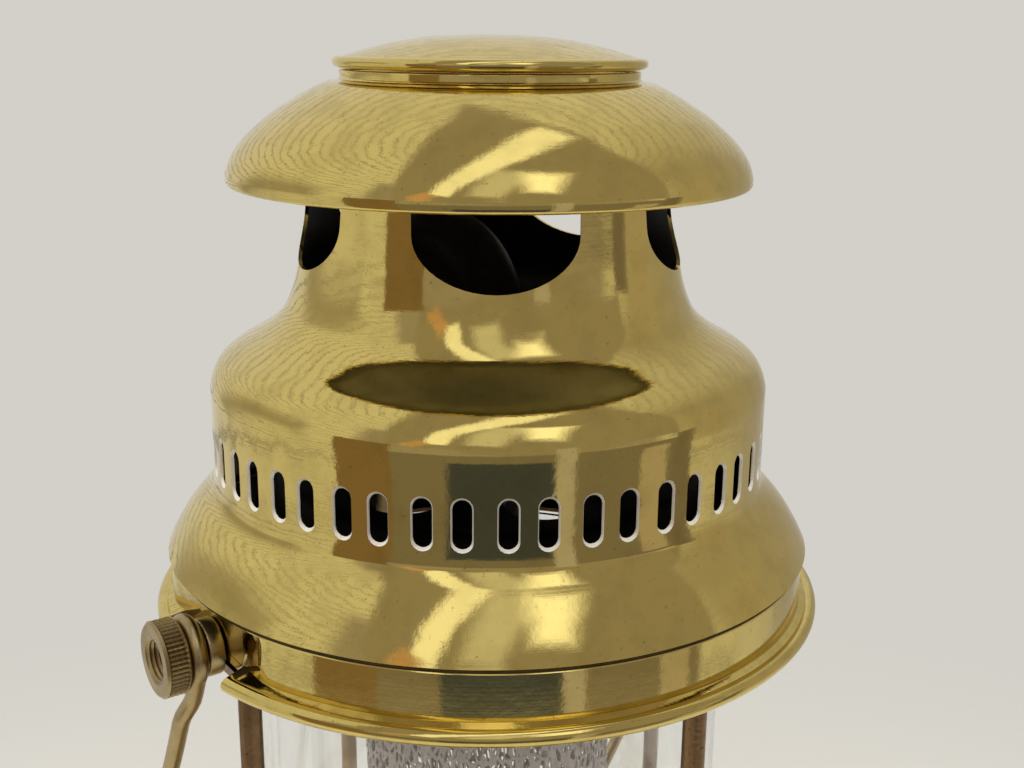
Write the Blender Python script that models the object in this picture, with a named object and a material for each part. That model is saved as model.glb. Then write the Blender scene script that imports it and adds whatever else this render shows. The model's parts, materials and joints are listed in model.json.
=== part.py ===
"""A brass paraffin pressure lantern with a mantle, modelled as its separate pieces.

Units are metres and +Z is up. The origin is the centre of the ring that the fount stands on.
The bail turns about X and hangs towards +Y, resting on the fount's shoulder.
"""

import math

import bmesh
import bpy
from mathutils import Matrix, Vector

# General fits and facets
GAP = 0.0003                 # between pieces that touch
RUN = 0.0004                 # round a piece that turns or slides
MERGE = 0.000001
ROUND = 28                   # facets of the large spun pieces
SMALL = 10                   # facets of the small turned pieces
ROD_FACETS = 10
REACH = 0.03                 # how far a cutter runs past what it cuts
SHARPEST = 0.3               # least share of a wall's mitre at a corner

# Fount
FOUNT_RADIUS = 0.0875
FOUNT_WALL = 0.0012
FOOT_RADIUS = 0.0825
FOOT_RISE = 0.011
FOOT_HEM = 0.0060
FOOT_BULGE = 0.0012
FOUNT_TOP = 0.095
BOTTOM_RISE = 0.006
BOTTOM_BULGE = 0.0010

# Cage
UPRIGHT_CIRCLE = 0.0667
UPRIGHT_RADIUS = 0.0025
UPRIGHT_COUNT = 4
UPRIGHT_TURN = 6.0           # degrees from +X to the first upright
CAGE_BASE_THICK = 0.0026
CAGE_BASE_SEAT = 0.0075      # width of the ring that lies on the fount's flat top
CAGE_BASE_REACH = 0.0092     # of the uprights past the edge of the flat top
CAGE_BASE_EDGE = 0.0015
RING_WALL = 0.0015
RING_HEIGHT = 0.0130
RING_FLANGE = 0.0090

# Globe
GLOBE_RADIUS = 0.0565
GLOBE_WALL = 0.0025
GLOBE_ABOVE_BLOCK = 0.0098   # of its foot over the valve block
GALLERY_SHEET = 0.0012
GALLERY_LIP = 0.0080
GALLERY_SEAT = 0.0060

# Hood, heights above the rim bead's centre
RIM_HEIGHT = 0.2720
BEAD_RADIUS = 0.0017
BEAD_OFFSET = 0.0022         # of the bead's centre outside the band
BAND_RADIUS = 0.0741
BAND_TOP = 0.0128
CREASE = 0.0006
SHOULDER_BULGE = 0.0009
BAND_FILLET = 0.0017
SHOULDER_KNEE_RADIUS = 0.0588
SHOULDER_KNEE_HEIGHT = 0.0582
KNEE_BULGE = 0.0014
SLOT_BAND_RADIUS = 0.0636
SLOT_BAND_BOTTOM = 0.0300
SLOT_BAND_TOP = 0.0515
NECK_FOOT_RADIUS = 0.0446
NECK_FOOT_HEIGHT = 0.0722
NECK_FILLET = 0.0034
NECK_FILLET_RISE = 0.0066
NECK_FILLET_BULGE = 0.0009
NECK_TOP_RADIUS = 0.0412
HOOD_WALL = 0.0008
SLOT_PAIRS = 24
HOOD_FACETS = 2 * SLOT_PAIRS
SLOT_PAIR_PITCH = 7.0        # degrees between the two slots of a pair
SLOT_TURN = 2.5              # degrees from -Y to the first pair
SLOT_WIDTH = 0.0038
SLOT_HEIGHT = 0.0100
SLOT_MIDDLE = 0.0374
WINDOW_COUNT = 5
WINDOW_TURN = -32.6          # degrees from -Y to the first window
WINDOW_WIDTH = 0.0335
WINDOW_SILL = 0.0777
WINDOW_SILL_ROUND = 0.0110
WINDOW_HEAD = 0.1040

# Cap dome and top disc, heights above the rim bead's centre
DOME_RADIUS = 0.0584
DOME_RIM = 0.0958
DOME_RIM_HEIGHT = 0.0030
DOME_TOP_RADIUS = 0.0370
DOME_TOP_HEIGHT = 0.1170
DOME_BULGE = 0.0026
TURRET_RADIUS = 0.0331
TURRET_HEIGHT = 0.0026
DISC_BEAD = 0.0012
DISC_RADIUS = 0.0346
DISC_RISE = 0.0046
DISC_BULGE = 0.0010

# Bail, its nuts and studs
STUD_RADIUS = 0.0028
STUD_HEIGHT = 0.00106        # of the studs' axis over the rim bead's centre
STUD_HEAD_RADIUS = 0.0042
STUD_HEAD = 0.0026
STUD_STANDS = 0.0082         # out of the pad
PAD_DEPTH = 0.0038           # of the flat pad's middle under the round band
PAD_TOP = 0.0117
PAD_LEDGE = 0.0024           # height of the lip left under the pad
PAD_GATE = 0.0155            # half width of the gap in the bead
NUT_COLLAR_RADIUS = 0.00625
NUT_COLLAR = 0.0036
NUT_GROOVE_RADIUS = 0.0040
NUT_GROOVE = 0.0048
NUT_HEAD_RADIUS = 0.00825
NUT_HEAD = 0.0050
NUT_CHAMFER = 0.0007
NUT_FACETS = 14
BAIL_WIRE = 0.0019
BAIL_SHORT = 0.0570          # of the bail's length under the rim's height
BAIL_CLEAR = 0.0009          # between the bail's leg and the rim bead
EYE_START = 200.0            # degrees from level, where the eye leaves for the leg
EYE_SWEEP = 270.0            # degrees of the eye round its groove
JOGGLE = 0.0185              # distance from the axis where the leg has moved outwards
JOGGLE_STEPS = 5

# Burner
VAPORIZER_CIRCLE = 0.0370
VAPORIZER_TURN = 101.0       # degrees from +X
VAPORIZER_RADIUS = 0.0036
VAPORIZER_BORE = 0.0022
JET_RADIUS = 0.0046
JET_BORE = 0.0009
JET_HEIGHT = 0.0075
JET_BARREL = 0.0045
JET_TIP = 0.0315             # above the rim bead's centre
PRICKER_RADIUS = 0.0012
NEEDLE_RADIUS = 0.0004
PRICKER_TRAVEL = 0.0030
PRICKER_TAIL = 0.0080        # below the spindle's axis
LOOP_TUBE = 0.0027
LOOP_CIRCLE = 0.0212
LOOP_RISE = 0.0085
LOOP_DROP = 0.0095           # of its lower end under the rim bead's centre
CASING_SHEET = 0.0008
CASING_TOP = 0.0300          # above the rim bead's centre
CASING_TOP_RADIUS = 0.0480
CASING_BULGE = 0.0030
CASING_FLANGE = 0.0055
CASING_HOLES = 7
CASING_HOLE_RADIUS = 0.0085
CASING_HOLE_CIRCLE = 0.0345
MIXER_RADIUS = 0.0080
MIXER_BORE = 0.0068
MIXER_BEND = 0.0160
MIXER_BEND_HEIGHT = 0.0760   # of the bend's centre above the rim bead's centre
MIXER_SWEEP = 150.0
MIXER_MOUTH = 0.0355         # above the rim bead's centre
CHAMBER_RADIUS = 0.0140
CHAMBER_HEIGHT = 0.0165
CHAMBER_CONE = 0.0074        # height of its lower cone
CHAMBER_WAIST = 0.0033
CHAMBER_TOP = 0.0085         # above the rim bead's centre
NOZZLE_RADIUS = 0.0115
NOZZLE_BORE = 0.0065
NOZZLE_HEIGHT = 0.0155
NOZZLE_GROOVE = 0.0016
NOZZLE_GROOVE_WIDTH = 0.0036
NOZZLE_FOOT = 0.0065         # below the groove
MANTLE_RADIUS = 0.0310
MANTLE_LENGTH = 0.0720
MANTLE_BULGE = 0.0090
MANTLE_SHOULDER = 0.0125     # drop from the tie to the full width
MANTLE_SHOULDER_BULGE = 0.0035
MANTLE_SHEET = 0.0010
MANTLE_FACETS = 16
TIE_RADIUS = 0.0007

# Valve, with its spindle pointing outwards past the uprights
BOSS_RADIUS = 0.0110
BOSS_HEIGHT = 0.0080
BLOCK_RADIUS = 0.0085
BLOCK_HEIGHT = 0.0380
BLOCK_CHAMFER = 0.0010
ARM_RADIUS = 0.0062
ARM_LENGTH = 0.0215
SPINDLE_RADIUS = 0.0024
SPINDLE_HEIGHT = 0.0180      # above the block's foot
SPINDLE_TURN = 140.0         # degrees from +X
GLAND_RADIUS = 0.0076
GLAND_LENGTH = 0.0070
WHEEL_PLACE = 0.0540         # from the vaporizer's axis to the wheel's inner face
WHEEL_RADIUS = 0.0150
WHEEL_RIM = 0.0021
WHEEL_HUB_RADIUS = 0.0052
WHEEL_HUB = 0.0060
WHEEL_SPOKES = 5
WHEEL_FACETS = 18
SPOKE_RADIUS = 0.0012
WHEEL_NUT_RADIUS = 0.0044
WHEEL_NUT = 0.0044
CUP_RADIUS = 0.0100
CUP_HEIGHT = 0.0100
CUP_SHEET = 0.0010
CUP_PLACE = 0.0060           # above the block
PICKUP_RADIUS = 0.0030
PICKUP_BORE = 0.0020
PICKUP_CLEAR = 0.0040        # above the fount's bottom

# Filler with its gauge cap, along an axis square to the fount's shoulder
FILLER_TURN = -126.0         # degrees from +X
FILLER_CLEAR = 0.0136        # of the axis from the cage base's edge
NECK_RADIUS = 0.0115
NECK_WALL = 0.0018
NECK_STANDS = 0.0072
NECK_SINKS = 0.0050
CAP_WALL = 0.0034
CAP_WEB = 0.0052
CAP_SKIRT = 0.0080
CAP_RIM = 0.0066             # of the gauge's wall above the web
CAP_RIM_WALL = 0.0016
CAP_FACETS = 16
GASKET = 0.0016
DIAL = 0.0006
HAND = 0.0005
HAND_BLADE = 0.00045
HAND_LENGTH = 0.0098
HAND_WIDTH = 0.0018
HAND_TIP = 0.0006
HAND_HUB = 0.0016
HAND_TURN = 135.0           # degrees from the cap's Y, at no pressure
HAND_STANDS = 0.0008
GLASS = 0.0012
BEZEL = 0.0013
BEZEL_WIDTH = 0.0014
VENT_SCREW_RADIUS = 0.0015
VENT_HEAD_RADIUS = 0.0040
VENT_HEAD = 0.0065

# Pump, along an axis square to the fount's shoulder
PUMP_TURN = -58.0            # degrees from +X
PUMP_CLEAR = 0.0160          # of the axis from the cage base's edge
PUMP_END = 0.0043            # of the barrel's inner end from the lantern's axis
PUMP_END_HEIGHT = 0.0277     # least height of that end
BARREL_RADIUS = 0.0105
BARREL_WALL = 0.0009
BARREL_STANDS = 0.0060
BARREL_END = 0.0016
PUMP_FACETS = 12
PISTON_CLEAR = 0.0030
PUMP_GLAND_WALL = 0.0028
PUMP_GLAND_TOP = 0.0032
PUMP_GLAND_SKIRT = 0.0048
PUMP_ROD_RADIUS = 0.0030
LEATHER = 0.0080
LEATHER_WALL = 0.0014
WASHER = 0.0015
KNOB_RADIUS = 0.0110
KNOB_HEIGHT = 0.0140
KNOB_STEM = 0.0070
KNOB_NECK = 0.0035
KNOB_GRIP = 0.0063           # height of its widest place
KNOB_BULGE = 0.0018
KNOB_CROWN = 0.0035
CHECK_RADIUS = 0.0050
CHECK_LENGTH = 0.0140
CHECK_BARREL = 0.0098
CHECK_NOSE = 0.0035
CHECK_BORE = 0.0016

# Places worked out from the sizes above
STUD_Z = RIM_HEIGHT + STUD_HEIGHT
PAD_FACE = BAND_RADIUS - PAD_DEPTH
RING_RADIUS = PAD_FACE - HOOD_WALL - GAP
RING_BOTTOM = STUD_Z - STUD_HEAD_RADIUS - RUN - CASING_SHEET - GAP - RING_WALL
SHOULDER_CIRCLE = UPRIGHT_CIRCLE - CAGE_BASE_REACH
SHOULDER_BEND = FOUNT_RADIUS - SHOULDER_CIRCLE
SHOULDER_HEIGHT = FOUNT_TOP - SHOULDER_BEND
CAGE_BASE_TOP = FOUNT_TOP + GAP + CAGE_BASE_THICK
BLOCK_FOOT = FOUNT_TOP + GAP + BOSS_HEIGHT + GAP
BLOCK_TOP = BLOCK_FOOT + BLOCK_HEIGHT
GLOBE_TOP = RING_BOTTOM + RING_WALL
GLOBE_BOTTOM = BLOCK_TOP + GLOBE_ABOVE_BLOCK
GALLERY_FACE = GLOBE_BOTTOM - GAP
BEAD_CIRCLE = BAND_RADIUS + BEAD_OFFSET
LEG_X = BEAD_CIRCLE + BEAD_RADIUS + BAIL_CLEAR + BAIL_WIRE
BAIL_LENGTH = RIM_HEIGHT - BAIL_SHORT
VAPORIZER = Matrix.Rotation(math.radians(VAPORIZER_TURN), 3, 'Z') @ Vector((VAPORIZER_CIRCLE, 0, 0))
JET_FOOT = RIM_HEIGHT + JET_TIP - JET_HEIGHT


def clear_scene():
    for thing in list(bpy.data.objects):
        bpy.data.objects.remove(thing, do_unlink=True)


def finish(name, colour, roughness, metallic=0.0, transmission=0.0):
    """A Principled material: colour is a linear red, green, blue."""
    made = bpy.data.materials.new(name)
    made.use_nodes = True
    shader = made.node_tree.nodes["Principled BSDF"]
    shader.inputs["Base Color"].default_value = (*colour, 1.0)
    shader.inputs["Roughness"].default_value = roughness
    shader.inputs["Metallic"].default_value = metallic
    shader.inputs["Transmission Weight"].default_value = transmission
    return made


def bow(start, end, bulge, steps):
    """Points along an arc from start to end; a positive bulge is on the right of the way."""
    first, last = Vector(start), Vector(end)
    along = (last - first).normalized()
    right = Vector((along.y, -along.x))
    half = 2 * math.atan(2 * bulge / (last - first).length)
    radius = (last - first).length / (2 * math.sin(half))
    points = []
    for step in range(steps + 1):
        angle = half * (2 * step / steps - 1)
        offset = radius * (math.cos(angle) - math.cos(half))
        points.append(tuple((first + last) / 2 + along * radius * math.sin(angle) + right * offset))
    return points


def arc(centre, radius, start, end, steps):
    """Points of a circle from one angle to another, in degrees."""
    angles = [math.radians(start + (end - start) * step / steps) for step in range(steps + 1)]
    return [(centre[0] + radius * math.cos(a), centre[1] + radius * math.sin(a)) for a in angles]


def sheet(line, wall):
    """The section of a sheet whose outer face is the line, with its wall on the left of the way."""
    points = [Vector(point) for point in line]
    inner = []
    for index, point in enumerate(points):
        before = points[max(index - 1, 0)]
        after = points[min(index + 1, len(points) - 1)]
        sides = [point - before, after - point]
        ways = [side.normalized() for side in sides if side.length > MERGE]
        lefts = [Vector((-way.y, way.x)) for way in ways]
        left = sum(lefts, Vector((0, 0))).normalized()
        if point.x < MERGE:
            left = Vector((0, math.copysign(1, left.y)))
        inner.append(tuple(point + left * wall / max(left.dot(lefts[0]), SHARPEST)))
    return [tuple(point) for point in points] + inner[::-1]


def piece(name, form, material, parent=None):
    """An object from a bmesh, shaded smooth except at its corners."""
    bmesh.ops.remove_doubles(form, verts=form.verts, dist=MERGE)
    bmesh.ops.recalc_face_normals(form, faces=form.faces)
    mesh = bpy.data.meshes.new(name)
    form.to_mesh(mesh)
    form.free()
    mesh.materials.append(material)
    mesh.shade_smooth()
    mesh.set_sharp_from_angle(angle=math.radians(35))
    made = bpy.data.objects.new(name, mesh)
    bpy.context.collection.objects.link(made)
    made.parent = parent
    return made


def turned(name, outline, material, steps=SMALL, parent=None):
    """A solid spun about +Z from its closed section of (radius, height) points."""
    form = bmesh.new()
    ring = [form.verts.new((radius, 0, height)) for radius, height in outline]
    sides = [(a, b) for a, b in zip(ring, ring[1:] + ring[:1]) if max(a.co.x, b.co.x) > MERGE]
    edges = [form.edges.new(side) for side in sides]
    bmesh.ops.spin(form, geom=ring + edges, cent=(0, 0, 0), axis=(0, 0, 1), angle=2 * math.pi,
                   steps=steps, use_merge=True)
    return piece(name, form, material, parent)


def prism(form, outline, low, high, place=Matrix.Identity(4)):
    """Adds a prism of the (x, y) outline between two heights."""
    face = form.faces.new([form.verts.new((x, y, low)) for x, y in outline])
    lifted = bmesh.ops.extrude_face_region(form, geom=[face])["geom"]
    top = [vert for vert in lifted if isinstance(vert, bmesh.types.BMVert)]
    bmesh.ops.translate(form, verts=top, vec=(0, 0, high - low))
    bmesh.ops.transform(form, matrix=place, verts=list(face.verts) + top)


def wire(name, points, radius, material, resolution=1, parent=None):
    """A round bar or tube blank along the points."""
    curve = bpy.data.curves.new(name, 'CURVE')
    curve.dimensions = '3D'
    curve.bevel_depth = radius
    curve.bevel_resolution = resolution
    curve.use_fill_caps = True
    spline = curve.splines.new('POLY')
    spline.points.add(len(points) - 1)
    for place, point in zip(spline.points, points):
        place.co = (*point, 1.0)
    curve.materials.append(material)
    made = bpy.data.objects.new(name, curve)
    bpy.context.collection.objects.link(made)
    made.parent = parent
    return made


def solid_wire(name, points, radius, material, resolution=1):
    """The same bar as a mesh, for a Boolean."""
    blank = wire("blank", points, radius, material, resolution)
    form = bmesh.new()
    form.from_mesh(bpy.data.meshes.new_from_object(blank))
    bpy.data.objects.remove(blank)
    return piece(name, form, material)


def tool(made):
    """Marks an object as a cutter or a joined blank, which is no piece of its own."""
    made.hide_render = True
    made.display_type = 'WIRE'
    return made


def combine(target, made, operation='DIFFERENCE'):
    change = target.modifiers.new(operation.title(), 'BOOLEAN')
    change.object = tool(made)
    change.operation = operation
    change.solver = 'EXACT'


def axis(name, place, way, side=(0, 0, 1)):
    """An empty whose Z runs along way and whose X lies level where it can."""
    forward = Vector(way).normalized()
    across = Vector(side).cross(forward)
    across = across.normalized() if across.length > MERGE else Vector((1, 0, 0))
    turn = Matrix((across, forward.cross(across), forward)).transposed()
    made = bpy.data.objects.new(name, None)
    made.matrix_world = Matrix.Translation(place) @ turn.to_4x4()
    bpy.context.collection.objects.link(made)
    return made


def ease(share):
    """A smooth step from 0 to 1."""
    held = min(max(share, 0), 1)
    return held * held * (3 - 2 * held)


def level(turn):
    """The level direction at an angle in degrees from +X."""
    return Vector((math.cos(math.radians(turn)), math.sin(math.radians(turn)), 0))


def tube_section(outer, inner, low, high):
    return [(inner, low), (outer, low), (outer, high), (inner, high)]


def rod_section(radius, low, high):
    return [(0, low), (radius, low), (radius, high), (0, high)]


def drill(radius, low, high, parent=None, sides=SMALL):
    """A round cutter along its parent's Z."""
    made = turned("drill", rod_section(radius, low, high), BRASS, sides, parent)
    return tool(made)


def bail_lean():
    """The angle from hanging straight down at which the bail's bow meets the fount's shoulder."""
    drop = STUD_Z - SHOULDER_HEIGHT
    reach = math.hypot(SHOULDER_CIRCLE, drop)
    touch = SHOULDER_BEND + BAIL_WIRE + RUN
    opening = (BAIL_LENGTH ** 2 + reach ** 2 - touch ** 2) / (2 * BAIL_LENGTH * reach)
    return math.atan2(SHOULDER_CIRCLE, drop) + math.acos(opening)


def shoulder_tilt(clear):
    """The rise of an axis square to the fount's shoulder that clears the cage base's edge."""
    edge_out = UPRIGHT_CIRCLE + UPRIGHT_RADIUS + CAGE_BASE_EDGE - SHOULDER_CIRCLE
    edge_up = FOUNT_TOP + GAP - CAGE_BASE_EDGE - SHOULDER_HEIGHT
    return math.atan2(edge_up, edge_out) - math.asin(clear / math.hypot(edge_out, edge_up))


def pump_tilt():
    """The rise of the pump, which also keeps its inner end off the fount's bottom."""
    aim = math.atan2(SHOULDER_HEIGHT - PUMP_END_HEIGHT, SHOULDER_CIRCLE - PUMP_END)
    return min(shoulder_tilt(PUMP_CLEAR), aim)


def shoulder_axis(name, turn, tilt):
    """An axis square to the fount's rounded shoulder, with its zero on the outer face."""
    out = level(turn)
    way = out * math.cos(tilt) + Vector((0, 0, math.sin(tilt)))
    centre = out * SHOULDER_CIRCLE + Vector((0, 0, SHOULDER_HEIGHT))
    return axis(name, centre + way * SHOULDER_BEND, way)


clear_scene()
BRASS = finish("polished_brass", (0.58, 0.36, 0.09), 0.22, 1.0)
AGED = finish("aged_brass", (0.28, 0.19, 0.08), 0.42, 1.0)
STEEL = finish("blackened_steel", (0.09, 0.075, 0.055), 0.5, 1.0)
SOOT = finish("sooted_steel", (0.02, 0.019, 0.018), 0.8, 0.4)
CLEAR = finish("clear_glass", (0.95, 0.96, 0.96), 0.03, 0.0, 1.0)
CERAMIC = finish("burner_ceramic", (0.62, 0.56, 0.46), 0.7)
KNIT = finish("mantle_knit", (0.55, 0.50, 0.50), 0.9)
HIDE = finish("pump_hide", (0.16, 0.08, 0.035), 0.75)
NITRILE = finish("black_rubber", (0.02, 0.02, 0.02), 0.8)
ENAMEL = finish("dial_enamel", (0.85, 0.84, 0.78), 0.4)

pump_axis = shoulder_axis("pump_axis", PUMP_TURN, pump_tilt())
filler_axis = shoulder_axis("filler_axis", FILLER_TURN, shoulder_tilt(FILLER_CLEAR))
vaporizer_axis = axis("vaporizer_axis", VAPORIZER, (0, 0, 1))
spindle_place = VAPORIZER + Vector((0, 0, BLOCK_FOOT + SPINDLE_HEIGHT))
spindle_axis = axis("spindle_axis", spindle_place, level(SPINDLE_TURN))
bail_axis = axis("bail_axis", (0, 0, STUD_Z), (0, 0, 1))
bail_axis.rotation_euler.x = bail_lean()
nut_axes = {
    "left": axis("left_nut_axis", (-PAD_FACE, 0, STUD_Z), (-1, 0, 0)),
    "right": axis("right_nut_axis", (PAD_FACE, 0, STUD_Z), (1, 0, 0)),
}


def fount():
    foot_line = [(FOOT_RADIUS - FOOT_HEM, 0), (FOOT_RADIUS, 0)]
    foot_line += bow((FOOT_RADIUS, 0), (FOUNT_RADIUS, FOOT_RISE), FOOT_BULGE, 2)[1:]
    shoulder = arc((SHOULDER_CIRCLE, SHOULDER_HEIGHT), SHOULDER_BEND, 0, 90, 5)
    shell = turned("fount_shell", sheet(foot_line + shoulder + [(0, FOUNT_TOP)], FOUNT_WALL), BRASS, ROUND)
    combine(shell, drill(BARREL_RADIUS + GAP, -REACH / 2, REACH / 2, pump_axis, PUMP_FACETS))
    combine(shell, drill(NECK_RADIUS + GAP, -REACH / 2, REACH / 2, filler_axis))
    combine(shell, drill(PICKUP_RADIUS + GAP, FOUNT_TOP - REACH / 2, FOUNT_TOP + REACH / 2, vaporizer_axis))
    seat = FOUNT_WALL + GAP
    dish = bow((0, seat + BOTTOM_RISE), (FOOT_RADIUS - 2 * FOUNT_WALL, seat), -BOTTOM_BULGE, 2)
    turned("fount_bottom", sheet(dish, FOUNT_WALL), BRASS, ROUND)


def cage():
    seat = FOUNT_TOP + GAP
    outer = UPRIGHT_CIRCLE + UPRIGHT_RADIUS + CAGE_BASE_EDGE
    inner = SHOULDER_CIRCLE - CAGE_BASE_SEAT
    lip = outer - CAGE_BASE_EDGE
    turned("cage_base", [(inner, seat), (lip, seat), (lip, seat - CAGE_BASE_EDGE),
                         (outer, seat - CAGE_BASE_EDGE), (outer, CAGE_BASE_TOP),
                         (inner, CAGE_BASE_TOP)], BRASS, ROUND)
    for count in range(UPRIGHT_COUNT):
        section = rod_section(UPRIGHT_RADIUS, CAGE_BASE_TOP + GAP, RING_BOTTOM - GAP)
        upright = turned(f"upright_{count + 1}", section, STEEL, ROD_FACETS)
        upright.location = level(UPRIGHT_TURN + 360 * count / UPRIGHT_COUNT) * UPRIGHT_CIRCLE
    top = RING_BOTTOM + RING_HEIGHT
    floor = RING_BOTTOM + RING_WALL
    ring = turned("cage_top_ring", [(RING_RADIUS - RING_FLANGE, RING_BOTTOM), (RING_RADIUS, RING_BOTTOM),
                                    (RING_RADIUS, top), (RING_RADIUS - RING_WALL, top),
                                    (RING_RADIUS - RING_WALL, floor), (RING_RADIUS - RING_FLANGE, floor)],
                  STEEL, ROUND)
    for nut_axis in nut_axes.values():
        combine(ring, drill(STUD_RADIUS + GAP, -REACH / 2, REACH / 2, nut_axis))


def globe():
    low, high = GLOBE_BOTTOM, GLOBE_TOP
    inner, outer = GLOBE_RADIUS - GLOBE_WALL, GLOBE_RADIUS
    turned("globe", tube_section(outer, inner, low, high), CLEAR, ROUND)
    lip = UPRIGHT_CIRCLE - UPRIGHT_RADIUS - GAP
    wall = GLOBE_RADIUS + GAP
    edge = inner - GALLERY_SEAT
    under = GALLERY_FACE - GALLERY_SHEET
    crest = GALLERY_FACE + GALLERY_LIP
    skin = wall + GALLERY_SHEET
    turned("gallery", [(edge, under), (lip, under), (lip, GALLERY_FACE), (skin, GALLERY_FACE), (skin, crest),
                       (wall, crest), (wall, GALLERY_FACE), (edge, GALLERY_FACE)], BRASS, ROUND)


def above_rim(points):
    """Section points given above the rim bead's centre, moved to their height."""
    return [(radius, RIM_HEIGHT + height) for radius, height in points]


def height_at(line, radius):
    """The height at which a line of section points passes a radius."""
    for (r0, z0), (r1, z1) in zip(line, line[1:]):
        if min(r0, r1) <= radius <= max(r0, r1) and abs(r1 - r0) > MERGE:
            return z0 + (z1 - z0) * (radius - r0) / (r1 - r0)
    return line[-1][1]


def dome_line():
    crown = DOME_TOP_HEIGHT + TURRET_HEIGHT
    line = [(DOME_RADIUS, DOME_RIM)]
    line += bow((DOME_RADIUS, DOME_RIM + DOME_RIM_HEIGHT), (DOME_TOP_RADIUS, DOME_TOP_HEIGHT),
                DOME_BULGE, 4)
    return line + [(TURRET_RADIUS, DOME_TOP_HEIGHT + CREASE), (TURRET_RADIUS, crown), (0, crown)]


def hood_line(neck_top):
    """The hood's outer face from the rim bead up to the top of the neck."""
    slope_top = (SHOULDER_KNEE_RADIUS, SHOULDER_KNEE_HEIGHT)
    line = [(BAND_RADIUS, 0), (BAND_RADIUS, BAND_TOP)]
    line += bow((BAND_RADIUS + CREASE, BAND_TOP + CREASE),
                (SLOT_BAND_RADIUS + BAND_FILLET, SLOT_BAND_BOTTOM - BAND_FILLET), SHOULDER_BULGE, 2)
    line += [(SLOT_BAND_RADIUS, SLOT_BAND_BOTTOM)]
    line += bow((SLOT_BAND_RADIUS, SLOT_BAND_TOP), slope_top, KNEE_BULGE, 1)
    line += bow((NECK_FOOT_RADIUS + NECK_FILLET, NECK_FOOT_HEIGHT - NECK_FILLET_RISE),
                (NECK_FOOT_RADIUS, NECK_FOOT_HEIGHT), -NECK_FILLET_BULGE, 1)
    return line + [(NECK_TOP_RADIUS, neck_top)]


def radial_cutters(outline, count, turn, inner, outer):
    """Prisms that point outwards round the axis; the first is turned from -Y, in degrees."""
    form = bmesh.new()
    for index in range(count):
        spin = Matrix.Rotation(math.radians(turn + 360 * index / count), 4, 'Z')
        lay = Matrix.Rotation(math.radians(90), 4, 'X')
        prism(form, outline, inner, outer, spin @ lay)
    return piece("radial_cutters", form, SOOT)


def slot_outline():
    half = SLOT_WIDTH / 2
    straight = SLOT_HEIGHT / 2 - half
    middle = RIM_HEIGHT + SLOT_MIDDLE
    return arc((0, middle + straight), half, 0, 180, 3) + arc((0, middle - straight), half, 180, 360, 3)


def window_outline():
    sill = RIM_HEIGHT + WINDOW_SILL + WINDOW_SILL_ROUND
    head = RIM_HEIGHT + WINDOW_HEAD
    half = WINDOW_WIDTH / 2
    round_sill = [(x * half, sill + z * WINDOW_SILL_ROUND) for x, z in arc((0, 0), 1, 180, 360, 6)]
    return round_sill + [(half, head), (-half, head)]


def boxes(*corners):
    """One cutter made of boxes, each given by its low and high corner."""
    form = bmesh.new()
    for low, high in corners:
        outline = [(low[0], low[1]), (high[0], low[1]), (high[0], high[1]), (low[0], high[1])]
        prism(form, outline, low[2], high[2])
    return piece("boxes", form, SOOT)


def bail_pads(shell):
    """Presses the two flat seats of the bail nuts into the band, with their gates in the bead."""
    inside = BAND_RADIUS - HOOD_WALL / 2
    bottom = RIM_HEIGHT - BEAD_RADIUS
    pad_top = RIM_HEIGHT + PAD_TOP
    blank = turned("pad_blank", rod_section(inside, bottom, pad_top + HOOD_WALL), SOOT, HOOD_FACETS)
    blank.rotation_euler.z = shell.rotation_euler.z
    back = PAD_FACE - HOOD_WALL
    combine(blank, boxes(((-back, -REACH * 3, 0), (back, REACH * 3, 2 * RIM_HEIGHT))))
    combine(shell, blank, 'UNION')
    ledge = RIM_HEIGHT + PAD_LEDGE
    deep = BAND_RADIUS + REACH
    low = bottom - REACH
    pocket = [(-PAD_GATE, low), (PAD_GATE, low), (PAD_GATE, ledge), (REACH, ledge),
              (REACH, pad_top), (-REACH, pad_top), (-REACH, ledge), (-PAD_GATE, ledge)]
    combine(shell, radial_cutters(pocket, 2, 90, PAD_FACE, deep))
    notch = STUD_RADIUS + GAP
    outline = arc((0, STUD_Z), notch, 0, 180, 6) + [(-notch, low), (notch, low)]
    combine(shell, radial_cutters(outline, 2, 90, SLOT_BAND_RADIUS, deep))


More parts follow.
